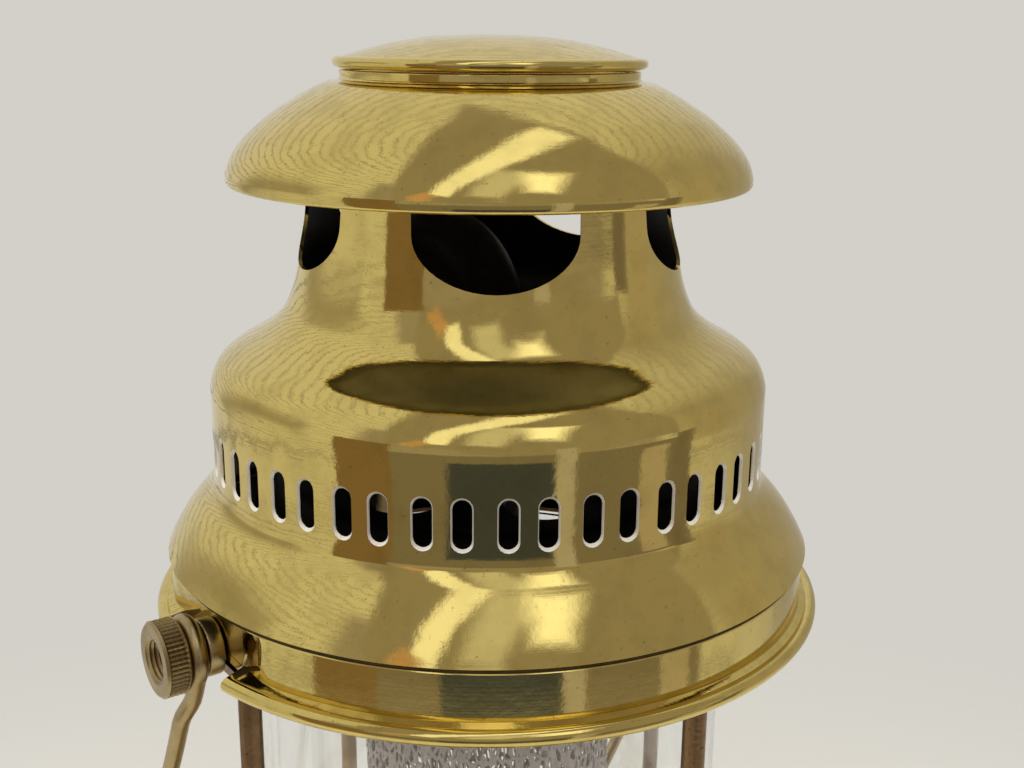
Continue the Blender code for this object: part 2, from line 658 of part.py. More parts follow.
def hood():
    dome_section = sheet(above_rim(dome_line()), HOOD_WALL)
    dome_inside = dome_section[len(dome_section) // 2:]
    neck_top = height_at(dome_inside[::-1], NECK_TOP_RADIUS) - GAP - RIM_HEIGHT
    section = sheet(above_rim(hood_line(neck_top)), HOOD_WALL)
    bead = arc((BEAD_CIRCLE, RIM_HEIGHT), BEAD_RADIUS, -180, 90, 4)
    section = section[-1:] + bead + above_rim([(BAND_RADIUS, BEAD_RADIUS)]) + section[1:-1]
    shell = turned("hood_shell", section, BRASS, HOOD_FACETS)
    shell.rotation_euler.z = math.radians(SLOT_TURN)
    bail_pads(shell)
    for half in (-0.5, 0.5):
        turn = SLOT_TURN + half * SLOT_PAIR_PITCH
        combine(shell, radial_cutters(slot_outline(), SLOT_PAIRS, turn, NECK_FOOT_RADIUS,
                                      SLOT_BAND_RADIUS + REACH))
    combine(shell, radial_cutters(window_outline(), WINDOW_COUNT, WINDOW_TURN, NECK_TOP_RADIUS - REACH / 2,
                                  NECK_FOOT_RADIUS + REACH / 2))
    turned("hood_dome", dome_section, BRASS, ROUND)
    bead_z = RIM_HEIGHT + DOME_TOP_HEIGHT + TURRET_HEIGHT + GAP + DISC_BEAD
    bead_r = DISC_RADIUS - DISC_BEAD
    crown = bow((bead_r, bead_z + DISC_BEAD), (0, bead_z + DISC_BEAD + DISC_RISE), DISC_BULGE, 2)
    under = [(radius, height - HOOD_WALL) for radius, height in crown[1:]]
    turned("hood_top_disc", arc((bead_r, bead_z), DISC_BEAD, -180, 90, 4) + crown[1:] + under[::-1]
           + [(bead_r - DISC_BEAD, bead_z + DISC_BEAD - HOOD_WALL / 2)], BRASS, ROUND)


def bail_hardware():
    facet_sag = STUD_HEAD_RADIUS * math.tan(math.pi / ROUND)
    head_face = -HOOD_WALL - GAP - RING_WALL - GAP - facet_sag
    for side, nut_axis in nut_axes.items():
        head = head_face - STUD_HEAD
        turned(f"{side}_bail_stud", [(0, head), (STUD_HEAD_RADIUS, head), (STUD_HEAD_RADIUS, head_face),
                                     (STUD_RADIUS, head_face), (STUD_RADIUS, STUD_STANDS),
                                     (0, STUD_STANDS)], AGED, SMALL, nut_axis)
        bore = STUD_RADIUS + GAP
        groove = GAP + NUT_COLLAR
        face = groove + NUT_GROOVE
        end = face + NUT_HEAD
        rim = NUT_HEAD_RADIUS - NUT_CHAMFER
        knob = [(rim, face), (NUT_HEAD_RADIUS, face + NUT_CHAMFER), (NUT_HEAD_RADIUS, end - NUT_CHAMFER),
                (rim, end), (bore + NUT_CHAMFER, end), (bore, end - NUT_CHAMFER)]
        turned(f"{side}_bail_nut", [(bore, GAP), (NUT_COLLAR_RADIUS, GAP), (NUT_COLLAR_RADIUS, groove),
                                    (NUT_GROOVE_RADIUS, groove), (NUT_GROOVE_RADIUS, face)] + knob,
               AGED, NUT_FACETS, nut_axis)


def bail():
    """A wire that hangs straight down in its axis's frame: an eye, a leg, the bow and back."""
    eye_x = PAD_FACE + GAP + NUT_COLLAR + NUT_GROOVE / 2
    eye_radius = NUT_GROOVE_RADIUS + RUN + BAIL_WIRE
    eye = arc((0, 0), eye_radius, EYE_START - EYE_SWEEP, EYE_START, 8)
    half = [(eye_x, y, z) for y, z in eye]
    start_y, start_z = eye[-1]
    joggle_from = NUT_HEAD_RADIUS + BAIL_WIRE + RUN
    bow_drop = BAIL_LENGTH - LEG_X
    for step in range(1, JOGGLE_STEPS + 1):
        drop = -start_z + (JOGGLE + start_z) * step / JOGGLE_STEPS
        aside = start_y * (1 - (drop + start_z) / (bow_drop + start_z))
        out = (LEG_X - eye_x) * ease((drop - joggle_from) / (JOGGLE - joggle_from))
        half.append((eye_x + out, aside, -drop))
    half += [(x, 0, z) for x, z in arc((0, -bow_drop), LEG_X, 0, -90, 7)]
    whole = [(-x, y, z) for x, y, z in half] + half[-2::-1]
    wire("bail", whole, BAIL_WIRE, AGED, 2, bail_axis)


def hexagon(name, radius, low, high, bore, parent):
    """A six-sided nut along its parent's Z; the radius is to its corners."""
    form = bmesh.new()
    prism(form, arc((0, 0), radius, 0, 300, 5), low, high)
    combine(piece(name, form, BRASS, parent), drill(bore, low - REACH, high + REACH, parent))


def burner():
    seat = RING_BOTTOM + RING_WALL + GAP + CASING_SHEET
    edge = RING_RADIUS - RING_WALL - GAP
    top = RIM_HEIGHT + CASING_TOP
    line = [(edge, seat)] + bow((edge - CASING_FLANGE, seat), (CASING_TOP_RADIUS, top), CASING_BULGE, 2)
    casing = turned("inner_casing", sheet(line + [(MIXER_RADIUS + GAP, top)], CASING_SHEET), SOOT, ROUND)
    for count in range(CASING_HOLES):
        hole = drill(CASING_HOLE_RADIUS, top - REACH / 2, top + REACH / 2)
        hole.location = level(VAPORIZER_TURN + 360 * count / CASING_HOLES) * CASING_HOLE_CIRCLE
        combine(casing, hole)
    chamber_top = RIM_HEIGHT + CHAMBER_TOP
    chamber_low = chamber_top - CHAMBER_HEIGHT
    waist = chamber_low + CHAMBER_CONE
    turned("mixing_chamber", [(NOZZLE_BORE, chamber_low), (NOZZLE_RADIUS, chamber_low),
                              (CHAMBER_RADIUS, waist), (CHAMBER_RADIUS, waist + CHAMBER_WAIST),
                              (MIXER_RADIUS, chamber_top), (NOZZLE_BORE, chamber_top)], SOOT)
    mixing_tube(chamber_top + GAP)
    nozzle_and_mantle(chamber_low - GAP)


def mixing_tube(low):
    """The gooseneck that brings gas and air over from the jet to the chamber."""
    out = level(VAPORIZER_TURN)
    bend = RIM_HEIGHT + MIXER_BEND_HEIGHT
    mouth = RIM_HEIGHT + MIXER_MOUTH
    route = [(0, low), (0, (low + bend) / 2)]
    route += arc((MIXER_BEND, bend), MIXER_BEND, 180, 180 - MIXER_SWEEP, 6)
    fall = math.radians(90 - MIXER_SWEEP)
    first, last = Vector(route[-1]), Vector((VAPORIZER_CIRCLE, bend - MIXER_BEND))
    pull = (last - first).length / 3
    near = first + Vector((math.cos(fall), math.sin(fall))) * pull
    far = last + Vector((0, pull))
    for share in (1 / 3, 2 / 3, 1):
        point = (first * (1 - share) ** 3 + near * 3 * share * (1 - share) ** 2
                 + far * 3 * share ** 2 * (1 - share) + last * share ** 3)
        route.append(tuple(point))
    route.append((VAPORIZER_CIRCLE, mouth))
    points = [out * x + Vector((0, 0, z)) for x, z in route]
    past = [points[0] - Vector((0, 0, MIXER_RADIUS))] + points + [points[-1] - Vector((0, 0, MIXER_RADIUS))]
    tube = solid_wire("mixing_tube", points, MIXER_RADIUS, SOOT, 2)
    combine(tube, solid_wire("mixing_bore", past, MIXER_BORE, SOOT, 2))


def nozzle_and_mantle(top):
    low = top - NOZZLE_HEIGHT
    groove_low, groove_high = low + NOZZLE_FOOT, low + NOZZLE_FOOT + NOZZLE_GROOVE_WIDTH
    waist = NOZZLE_RADIUS - NOZZLE_GROOVE
    turned("burner_nozzle", [(NOZZLE_BORE, low), (NOZZLE_RADIUS, low), (NOZZLE_RADIUS, groove_low),
                             (waist, groove_low), (waist, groove_high), (NOZZLE_RADIUS, groove_high),
                             (NOZZLE_RADIUS, top), (NOZZLE_BORE, top)], CERAMIC)
    neck = waist + GAP + MANTLE_SHEET
    neck_low = groove_low + GAP + MANTLE_SHEET
    foot = groove_high - GAP - MANTLE_LENGTH
    belly = foot + MANTLE_RADIUS
    line = bow((0, foot), (MANTLE_RADIUS, belly), MANTLE_BULGE, 3)
    line += bow((MANTLE_RADIUS, neck_low - MANTLE_SHOULDER), (neck, neck_low), MANTLE_SHOULDER_BULGE, 2)
    turned("mantle", sheet(line + [(neck, groove_high - GAP)], MANTLE_SHEET), KNIT, MANTLE_FACETS)
    tie = arc((neck + GAP + TIE_RADIUS, groove_high - TIE_RADIUS), TIE_RADIUS, 0, 300, 5)
    turned("mantle_tie", tie, KNIT, MANTLE_FACETS)


def vaporizer():
    section = tube_section(VAPORIZER_RADIUS, VAPORIZER_BORE, BLOCK_TOP + GAP, JET_FOOT - GAP)
    turned("vaporizer_tube", section, AGED, SMALL, vaporizer_axis)
    tip = JET_FOOT + JET_HEIGHT
    shoulder = JET_FOOT + JET_BARREL
    turned("jet", [(JET_BORE, JET_FOOT), (JET_RADIUS, JET_FOOT), (JET_RADIUS, shoulder),
                   (JET_BORE * 2, tip), (JET_BORE, tip)], AGED, SMALL, vaporizer_axis)
    spindle = BLOCK_FOOT + SPINDLE_HEIGHT
    collar = JET_FOOT - PRICKER_TRAVEL - RUN
    tail, point = spindle - PRICKER_TAIL, tip - PRICKER_TRAVEL
    turned("pricker_rod", [(0, tail), (PRICKER_RADIUS, tail), (PRICKER_RADIUS, collar),
                           (NEEDLE_RADIUS, collar), (NEEDLE_RADIUS, point), (0, point)],
           STEEL, ROD_FACETS, vaporizer_axis)
    foot = BLOCK_TOP + CUP_PLACE
    inner = VAPORIZER_RADIUS + GAP
    crest, floor = foot + CUP_HEIGHT, foot + CUP_SHEET
    wall, sleeve = CUP_RADIUS - CUP_SHEET, inner + CUP_SHEET
    turned("spirit_cup", [(inner, foot), (CUP_RADIUS, foot), (CUP_RADIUS, crest), (wall, crest),
                          (wall, floor), (sleeve, floor), (sleeve, crest), (inner, crest)],
           BRASS, SMALL, vaporizer_axis)
    heating_loop()


def heating_loop():
    """A tube from the vaporizer's side round the burner and back, along tangents of its circle."""
    lean = math.asin(LOOP_CIRCLE / VAPORIZER_CIRCLE)
    touch = 90 - math.degrees(lean)
    ring = arc((0, 0), LOOP_CIRCLE, touch, 360 - touch, 14)
    start = VAPORIZER_RADIUS + GAP
    ends = [(VAPORIZER_CIRCLE - start * math.cos(lean), side * start * math.sin(lean)) for side in (1, -1)]
    flat = ends[:1] + ring + ends[1:]
    turn = Matrix.Rotation(math.radians(VAPORIZER_TURN), 3, 'Z')
    low = RIM_HEIGHT - LOOP_DROP
    rises = [LOOP_RISE * index / (len(flat) - 1) for index in range(len(flat))]
    points = [turn @ Vector((x, y, low + rise)) for (x, y), rise in zip(flat, rises)]
    wire("heating_loop", points, LOOP_TUBE, AGED)


def valve():
    foot = FOUNT_TOP + GAP
    hexagon("vaporizer_boss", BOSS_RADIUS, foot, foot + BOSS_HEIGHT, PICKUP_RADIUS + GAP, vaporizer_axis)
    floor = 2 * FOUNT_WALL + GAP + BOTTOM_RISE
    turned("pickup_tube", tube_section(PICKUP_RADIUS, PICKUP_BORE, floor + PICKUP_CLEAR, BLOCK_FOOT - GAP),
           BRASS, SMALL, vaporizer_axis)
    edge = BLOCK_RADIUS - BLOCK_CHAMFER
    low, high = BLOCK_FOOT + BLOCK_CHAMFER, BLOCK_TOP - BLOCK_CHAMFER
    block = turned("valve_block", [(0, BLOCK_FOOT), (edge, BLOCK_FOOT), (BLOCK_RADIUS, low),
                                   (BLOCK_RADIUS, high), (edge, BLOCK_TOP), (0, BLOCK_TOP)],
                   BRASS, SMALL, vaporizer_axis)
    arm = turned("valve_arm", rod_section(ARM_RADIUS, 0, ARM_LENGTH), BRASS, SMALL, spindle_axis)
    combine(block, arm, 'UNION')
    combine(block, drill(VAPORIZER_BORE, BLOCK_FOOT - REACH, BLOCK_TOP + REACH, vaporizer_axis))
    combine(block, drill(SPINDLE_RADIUS + RUN, 0, ARM_LENGTH + REACH, spindle_axis))
    gland = ARM_LENGTH + GAP
    hexagon("gland_nut", GLAND_RADIUS, gland, gland + GLAND_LENGTH, SPINDLE_RADIUS + RUN, spindle_axis)
    hub_end = WHEEL_PLACE + WHEEL_HUB
    tip = hub_end + GAP + WHEEL_NUT
    rod = rod_section(SPINDLE_RADIUS, PRICKER_RADIUS + RUN, tip)
    turned("valve_spindle", rod, BRASS, SMALL, spindle_axis)
    hub = tube_section(WHEEL_HUB_RADIUS, SPINDLE_RADIUS + GAP, WHEEL_PLACE, hub_end)
    wheel = turned("valve_wheel", hub, STEEL, SMALL, spindle_axis)
    middle = WHEEL_PLACE + WHEEL_HUB / 2
    rim = arc((WHEEL_RADIUS - WHEEL_RIM, middle), WHEEL_RIM, 0, 288, 4)
    form = bmesh.new()
    for count in range(WHEEL_SPOKES):
        spin = Matrix.Rotation(math.radians(360 * count / WHEEL_SPOKES), 4, 'Z')
        lay = Matrix.Translation((0, 0, middle)) @ spin @ Matrix.Rotation(math.radians(90), 4, 'Y')
        prism(form, arc((0, 0), SPOKE_RADIUS, 0, 270, 3), WHEEL_HUB_RADIUS - SPOKE_RADIUS,
              WHEEL_RADIUS - WHEEL_RIM, lay)
    combine(wheel, piece("wheel_spokes", form, STEEL, spindle_axis), 'UNION')
    combine(wheel, turned("wheel_rim", rim, STEEL, WHEEL_FACETS, spindle_axis), 'UNION')
    hexagon("wheel_nut", WHEEL_NUT_RADIUS, hub_end + GAP, tip, SPINDLE_RADIUS + GAP, spindle_axis)


def filler():
    bore = NECK_RADIUS - NECK_WALL
    neck = tube_section(NECK_RADIUS, bore, -NECK_SINKS, NECK_STANDS)
    turned("filler_neck", neck, BRASS, SMALL, filler_axis)
    gasket = NECK_STANDS + GAP
    ring = tube_section(NECK_RADIUS, bore, gasket, gasket + GASKET)
    turned("cap_gasket", ring, NITRILE, SMALL, filler_axis)
    skirt_in = NECK_RADIUS + RUN
    outer = skirt_in + CAP_WALL
    web = gasket + GASKET + GAP
    floor = web + CAP_WEB
    crest = floor + CAP_RIM
    cup = outer - CAP_RIM_WALL
    cap = turned("filler_cap", [(skirt_in, web), (skirt_in, web - CAP_SKIRT), (outer, web - CAP_SKIRT),
                                (outer, crest), (cup, crest), (cup, floor), (0, floor), (0, web)],
                 BRASS, CAP_FACETS, filler_axis)
    vent_place = filler_axis.matrix_world @ Vector((0, 0, web + CAP_WEB / 2))
    vent_axis = axis("vent_axis", vent_place, filler_axis.matrix_world.to_3x3() @ Vector((1, 0, 0)))
    combine(cap, drill(VENT_SCREW_RADIUS + GAP, outer - CAP_WALL, outer + REACH, vent_axis))
    head = outer + RUN
    seat = outer - CAP_WALL + GAP
    turned("release_screw", [(0, seat), (VENT_SCREW_RADIUS, seat), (VENT_SCREW_RADIUS, head),
                             (VENT_HEAD_RADIUS, head), (VENT_HEAD_RADIUS, head + VENT_HEAD),
                             (0, head + VENT_HEAD)], BRASS, SMALL, vent_axis)
    gauge(cup, floor, crest)


def gauge(cup, floor, crest):
    """The dial, hand, glass and bezel in the cap's upper recess."""
    dial = floor + GAP
    turned("gauge_dial", rod_section(cup - GAP, dial, dial + DIAL), ENAMEL, CAP_FACETS, filler_axis)
    hand_low = dial + DIAL + HAND_STANDS
    hub = rod_section(HAND_HUB, dial + DIAL + GAP, hand_low + HAND)
    hand = turned("gauge_hand", hub, STEEL, ROD_FACETS, filler_axis)
    form = bmesh.new()
    wide, narrow = HAND_WIDTH / 2, HAND_TIP / 2
    prism(form, [(-wide, 0), (wide, 0), (narrow, HAND_LENGTH), (-narrow, HAND_LENGTH)],
          hand_low, hand_low + HAND_BLADE, Matrix.Rotation(math.radians(HAND_TURN), 4, 'Z'))
    combine(hand, piece("hand_blade", form, STEEL, filler_axis), 'UNION')
    bezel = crest - BEZEL
    edge = cup - GAP
    ring = tube_section(edge, edge - BEZEL_WIDTH, bezel, crest)
    turned("gauge_bezel", ring, BRASS, CAP_FACETS, filler_axis)
    pane = rod_section(edge, bezel - GAP - GLASS, bezel - GAP)
    turned("gauge_glass", pane, CLEAR, CAP_FACETS, filler_axis)


def pump():
    bore = BARREL_RADIUS - BARREL_WALL
    end = -SHOULDER_BEND - (SHOULDER_CIRCLE - PUMP_END) / math.cos(pump_tilt())
    floor = end + BARREL_END
    turned("pump_barrel", [(CHECK_BORE, end), (BARREL_RADIUS, end), (BARREL_RADIUS, BARREL_STANDS),
                           (bore, BARREL_STANDS), (bore, floor), (CHECK_BORE, floor)],
           BRASS, PUMP_FACETS, pump_axis)
    check = end - GAP
    turned("check_valve", [(CHECK_BORE, check - CHECK_LENGTH), (CHECK_NOSE, check - CHECK_LENGTH),
                           (CHECK_RADIUS, check - CHECK_BARREL), (CHECK_RADIUS, check), (CHECK_BORE, check)],
           BRASS, SMALL, pump_axis)
    gland = BARREL_STANDS + GAP
    cover = gland + PUMP_GLAND_TOP
    skirt = BARREL_RADIUS + GAP
    slide = PUMP_ROD_RADIUS + RUN
    outer, low = skirt + PUMP_GLAND_WALL, gland - PUMP_GLAND_SKIRT
    turned("pump_gland", [(skirt, gland), (skirt, low), (outer, low), (outer, cover), (slide, cover),
                          (slide, gland)], BRASS, PUMP_FACETS, pump_axis)
    piston = floor + PISTON_CLEAR
    cup = bore - RUN
    hole = PUMP_ROD_RADIUS + GAP
    lip, crest = cup - LEATHER_WALL, piston + LEATHER
    web = crest - LEATHER_WALL
    turned("pump_leather", [(lip, piston), (cup, piston), (cup, crest), (hole, crest), (hole, web),
                            (lip, web)], HIDE, PUMP_FACETS, pump_axis)
    washer = tube_section(lip, hole, crest + GAP, crest + GAP + WASHER)
    turned("pump_washer", washer, BRASS, SMALL, pump_axis)
    knob = cover + RUN
    top = knob + KNOB_HEIGHT
    socket = top - KNOB_CROWN
    turned("pump_rod", rod_section(PUMP_ROD_RADIUS, piston, socket - GAP), STEEL, SMALL, pump_axis)
    turned("pump_knob", [(hole, knob), (KNOB_STEM, knob), (KNOB_STEM, knob + KNOB_NECK)]
           + bow((KNOB_RADIUS, knob + KNOB_GRIP), (KNOB_STEM, top), KNOB_BULGE, 3)
           + [(0, top), (0, socket), (hole, socket)], BRASS, PUMP_FACETS, pump_axis)


fount()
cage()
globe()
hood()
bail_hardware()
bail()
burner()
vaporizer()
valve()
filler()
pump()
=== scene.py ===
# %% [markdown]
# # A brass pressure lantern
# The lantern burns paraffin that is pumped up under pressure and lights a mantle inside a glass.
# The frame below holds its solids at their real size. This lesson dresses them: the spun sheet gets
# its true curves, the turned pieces get their knurls, and each metal gets its own finish.

# %% Frame
import json
import math

import bmesh
import bpy
from mathutils import Matrix, Vector


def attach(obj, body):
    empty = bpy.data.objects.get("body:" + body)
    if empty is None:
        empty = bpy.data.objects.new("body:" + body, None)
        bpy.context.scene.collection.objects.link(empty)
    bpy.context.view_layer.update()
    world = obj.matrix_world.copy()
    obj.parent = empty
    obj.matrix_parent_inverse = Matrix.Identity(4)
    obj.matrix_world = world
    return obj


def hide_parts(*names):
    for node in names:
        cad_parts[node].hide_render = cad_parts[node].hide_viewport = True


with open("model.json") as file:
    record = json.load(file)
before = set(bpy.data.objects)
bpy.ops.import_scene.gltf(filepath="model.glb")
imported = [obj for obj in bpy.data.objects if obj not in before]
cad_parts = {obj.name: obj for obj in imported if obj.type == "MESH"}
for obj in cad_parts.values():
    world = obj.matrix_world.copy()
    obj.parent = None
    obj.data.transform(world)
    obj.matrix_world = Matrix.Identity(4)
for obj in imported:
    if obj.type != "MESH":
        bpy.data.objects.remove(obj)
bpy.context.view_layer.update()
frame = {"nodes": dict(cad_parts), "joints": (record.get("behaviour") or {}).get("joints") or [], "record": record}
nodes = frame["nodes"]
scene = bpy.context.scene
scene.view_settings.view_transform = 'Standard'
print("nodes in the frame:", len(nodes))

# %% [markdown]
# ## Camera
# The photo looks slightly down on the hood from close by, so the rim shows as a wide ellipse and
# the top of the disc can just be seen. Its lens follows from how fast those ellipses open with height.

# %% Camera
def linked(name, data):
    """A new object in the scene."""
    made = bpy.data.objects.new(name, data)
    scene.collection.objects.link(made)
    return made


RIM_Z = 0.272                # height of the hood's rim bead
CAMERA_TURN = math.radians(-34.5)
CAMERA_BACK = 0.2896
CAMERA_UP = 0.1271
PITCH, YAW, ROLL = 0.2668, -0.0186, 0.0094
right = Vector((math.cos(YAW), math.sin(YAW), 0))
ahead = Vector((-math.sin(YAW) * math.cos(PITCH), math.cos(YAW) * math.cos(PITCH), -math.sin(PITCH)))
above = right.cross(ahead)
side = right * math.cos(ROLL) + above * math.sin(ROLL)
upward = above * math.cos(ROLL) - right * math.sin(ROLL)
aim = Matrix((side, upward, -ahead)).transposed().to_4x4()
camera_data = bpy.data.cameras.new("camera")
camera_data.sensor_width = 36
camera_data.lens = 45.0
camera_data.clip_start = 0.01
camera = linked("camera", camera_data)
place = Matrix.Translation((0, -CAMERA_BACK, RIM_Z + CAMERA_UP))
camera.matrix_world = Matrix.Rotation(CAMERA_TURN, 4, 'Z') @ place @ aim
scene.camera = camera
print("camera at", [round(value, 4) for value in camera.matrix_world.translation])

# %% [markdown]
# ## Floor
# A pale floor fades into a pale background, so the lantern stands on something and no horizon shows.
# Each material is a few shader nodes. One function adds a node and another fills its inputs.

# %% Floor
def linear(code):
    """An sRGB hex colour as linear red, green, blue and alpha."""
    parts = [int(code[at:at + 2], 16) / 255 for at in (0, 2, 4)]
    return (*[p / 12.92 if p <= 0.04045 else ((p + 0.055) / 1.055) ** 2.4 for p in parts], 1.0)


def feed(tree, node, links):
    """Fills a node's inputs from (input, source) pairs: a value, an output, or a node and its live output."""
    for name, source in links:
        if isinstance(source, bpy.types.Node):
            source = next(output for output in source.outputs if output.enabled)
        if isinstance(source, bpy.types.NodeSocket):
            tree.links.new(source, node.inputs[name])
        else:
            node.inputs[name].default_value = source


def add(tree, kind, links=(), **settings):
    """Adds one shader node of a kind, with its settings and what feeds it."""
    made = tree.nodes.new("ShaderNode" + kind)
    for name, value in settings.items():
        setattr(made, name, value)
    feed(tree, made, links)
    return made


def paint(name):
    """A new material, its node tree and its Principled shader."""
    made = bpy.data.materials.new(name)
    made.use_nodes = True
    return made, made.node_tree, made.node_tree.nodes["Principled BSDF"]


def placed(name, form, material, smooth=30):
    """An object from a bmesh, smooth except at edges sharper than the angle."""
    bmesh.ops.remove_doubles(form, verts=form.verts, dist=1e-6)
    bmesh.ops.recalc_face_normals(form, faces=form.faces)
    mesh = bpy.data.meshes.new(name)
    form.to_mesh(mesh)
    form.free()
    mesh.materials.append(material)
    mesh.shade_smooth()
    mesh.set_sharp_from_angle(angle=math.radians(smooth))
    return linked(name, mesh)


PALE = linear("D2D0C8")
FLOOR_CLEAR, FLOOR_EDGE = 0.30, 0.62      # metres from the lantern over which the floor fades out
floor_paint, tree, shader = paint("pale studio floor")
spot = add(tree, "TexCoord").outputs["Object"]
away = add(tree, "VectorMath", [(0, spot)], operation='LENGTH')
kept = add(tree, "MapRange", [("Value", away), ("From Min", FLOOR_CLEAR), ("From Max", FLOOR_EDGE),
                              ("To Min", 1.0), ("To Max", 0.0)], interpolation_type='SMOOTHSTEP')
feed(tree, shader, [("Base Color", linear("E2E0D9")), ("Roughness", 0.8), ("Alpha", kept)])
form = bmesh.new()
bmesh.ops.create_circle(form, cap_ends=True, segments=96, radius=FLOOR_EDGE)
floor = placed("floor", form, floor_paint)
print("floor fades out at:", FLOOR_EDGE, "m")

# %% [markdown]
# ## Room
# Polished metal shows the room itself, so the room has an uneven pale wall, dim panels in front and to the
# sides, and a few bright ones overhead: their reflections draw the bands that make brass look like metal.
# Here are the two maps that place them, and the wall with its joint lines.

# %% Room
world = bpy.data.worlds.new("room")
world.use_nodes = True
scene.world = world
tree = world.node_tree
room = tree.nodes["Background"]
way = add(tree, "TexCoord").outputs["Generated"]
around = add(tree, "VectorRotate", [("Vector", way), ("Angle", math.pi / 2 - CAMERA_TURN)],
             rotation_type='Z_AXIS')
split = add(tree, "SeparateXYZ", [(0, around)])
bearing = add(tree, "Math", [(0, split.outputs["Y"]), (1, split.outputs["X"])], operation='ARCTAN2')
rise = add(tree, "Math", [(0, split.outputs["Z"])], operation='ARCSINE')
on_wall = add(tree, "CombineXYZ", [("X", bearing), ("Y", rise)])
sideways = add(tree, "CombineXYZ", [("X", split.outputs["Y"]), ("Y", split.outputs["X"])])
outward = add(tree, "VectorMath", [(0, sideways)], operation='NORMALIZE')
zenith = add(tree, "Math", [(0, math.pi / 2), (1, rise)], operation='SUBTRACT')
on_roof = add(tree, "VectorMath", [(0, outward), ("Scale", zenith)], operation='SCALE')
lift = add(tree, "MapRange", [("Value", rise), ("From Min", -0.65), ("From Max", 0.65),
                              ("To Min", 0.70), ("To Max", 0.80)], interpolation_type='SMOOTHSTEP')
joints_at = add(tree, "TexWave", [("Vector", on_wall), ("Scale", 5.2), ("Distortion", 3.2),
                                  ("Detail", 2.0), ("Detail Scale", 1.3)], bands_direction='Y')
shade = add(tree, "MapRange", [("Value", joints_at.outputs["Fac"]), ("From Min", 0.0),
                               ("From Max", 0.09), ("To Min", 0.42), ("To Max", 1.0)])
light = add(tree, "Math", [(0, lift), (1, shade)], operation='MULTIPLY')
room_colour = add(tree, "Mix", [(0, light), (6, (0, 0, 0, 1)), (7, linear("F8F5EE"))], data_type='RGBA')
print("room nodes:", len(tree.nodes))

# %% [markdown]
# Cards on the walls are placed by turn and rise. Cards on the roof are placed on a map centred overhead,
# because turns crowd together there. Each card covers those before it.

# %% Cards
def card(below, spot, colour, power, x_deg, y_deg, wide_deg, tall_deg, soft_deg, tilt_deg=0.0):
    """Lays a soft-edged card over the room's colour; half sizes in degrees as the lantern sees it."""
    middle = Vector((math.radians(x_deg), math.radians(y_deg), 0))
    half = Vector((math.radians(wide_deg), math.radians(tall_deg), 0))
    soft = math.radians(soft_deg)
    offset = add(tree, "VectorMath", [(0, spot), (1, middle)], operation='SUBTRACT')
    straight = add(tree, "VectorRotate", [("Vector", offset), ("Angle", -math.radians(tilt_deg))],
                   rotation_type='Z_AXIS')
    apart = add(tree, "VectorMath", [(0, straight)], operation='ABSOLUTE')
    past = add(tree, "VectorMath", [(0, apart), (1, half)], operation='SUBTRACT')
    sides = add(tree, "SeparateXYZ", [(0, past)])
    furthest = add(tree, "Math", [(0, sides.outputs["X"]), (1, sides.outputs["Y"])], operation='MAXIMUM')
    inside = add(tree, "MapRange", [("Value", furthest), ("From Min", soft), ("From Max", -soft)],
                 interpolation_type='SMOOTHSTEP')
    shown = (*[power * part for part in linear(colour)[:3]], 1.0)
    return add(tree, "Mix", [(0, inside), (6, below), (7, shown)], data_type='RGBA')


# Where the card hangs, its colour and brightness, then degrees: on a wall its turn from the camera and its
# rise, on the roof how far right of overhead and towards the camera; half width and height, edge and tilt.
CARDS = [
    (on_wall, "A7A0A0", 1.0, 8, 17, 62, 21, 5), (on_roof, "ABA59C", 1.0, 68, -45, 34, 60, 22),
    (on_roof, "ABA59C", 1.0, -77, -25, 8, 40, 8), (on_roof, "A09891", 1.0, 17, 39, 50, 50, 2, 27),
    (on_roof, "DCDAD8", 1.0, 3, 44, 8, 22, 4, 15), (on_roof, "FFFFFF", 1.25, -5, 23, 5, 43, 2, 27),
    (on_roof, "FFFFFF", 1.5, 20, 37, 7, 15, 5, -10), (on_roof, "D2AC8D", 1.0, -34, 60, 8, 5, 2, -30),
    (on_wall, "857D7A", 1.0, 9, -32, 70, 31, 2), (on_wall, "877259", 1.0, -50, -10, 12, 24, 0.8),
    (on_wall, "474D5D", 1.0, 5, -28, 21, 13, 1.5), (on_wall, "B9B4BC", 1.0, 30, -12, 4, 22, 1),
    (on_wall, "B4AAA6", 1.0, 68, -22, 6, 13, 1), (on_wall, "7F7774", 1.0, 82, -10, 5, 14, 1),
    (on_wall, "B1A89D", 1.0, 98, 4, 11, 18, 4)]
for spec in CARDS:
    room_colour = card(room_colour, *spec)
feed(tree, room, [("Color", room_colour)])
rays = add(tree, "LightPath")
seen = add(tree, "Math", [(0, rays.outputs["Is Camera Ray"]), (1, rays.outputs["Is Transmission Ray"])],
           operation='MAXIMUM')
plain = add(tree, "Background", [("Color", PALE)])
both = add(tree, "MixShader", [(0, seen), (1, room), (2, plain)])
feed(tree, tree.nodes["World Output"], [("Surface", both)])
print("cards in the room:", len(CARDS))

# %% [markdown]
# ## Soft boxes
# Three soft boxes light the lantern from both sides and from the front. They stay out of the reflections.

# %% Soft boxes
def lamp(name, turn_deg, distance, height, side, power):
    """A square soft box that looks at the lantern; the turn is from the camera's side, to the right."""
    data = bpy.data.lights.new(name, 'AREA')
    data.shape = 'RECTANGLE'
    data.size, data.size_y, data.energy = side, side, power
    made = linked(name, data)
    angle = CAMERA_TURN + math.radians(turn_deg)
    spot = Vector((math.sin(angle), -math.cos(angle), 0)) * distance + Vector((0, 0, height))
    facing = (spot - Vector((0, 0, RIM_Z))).to_track_quat('Z', 'Y').to_matrix().to_4x4()
    made.matrix_world = Matrix.Translation(spot) @ facing
    made.visible_glossy = False


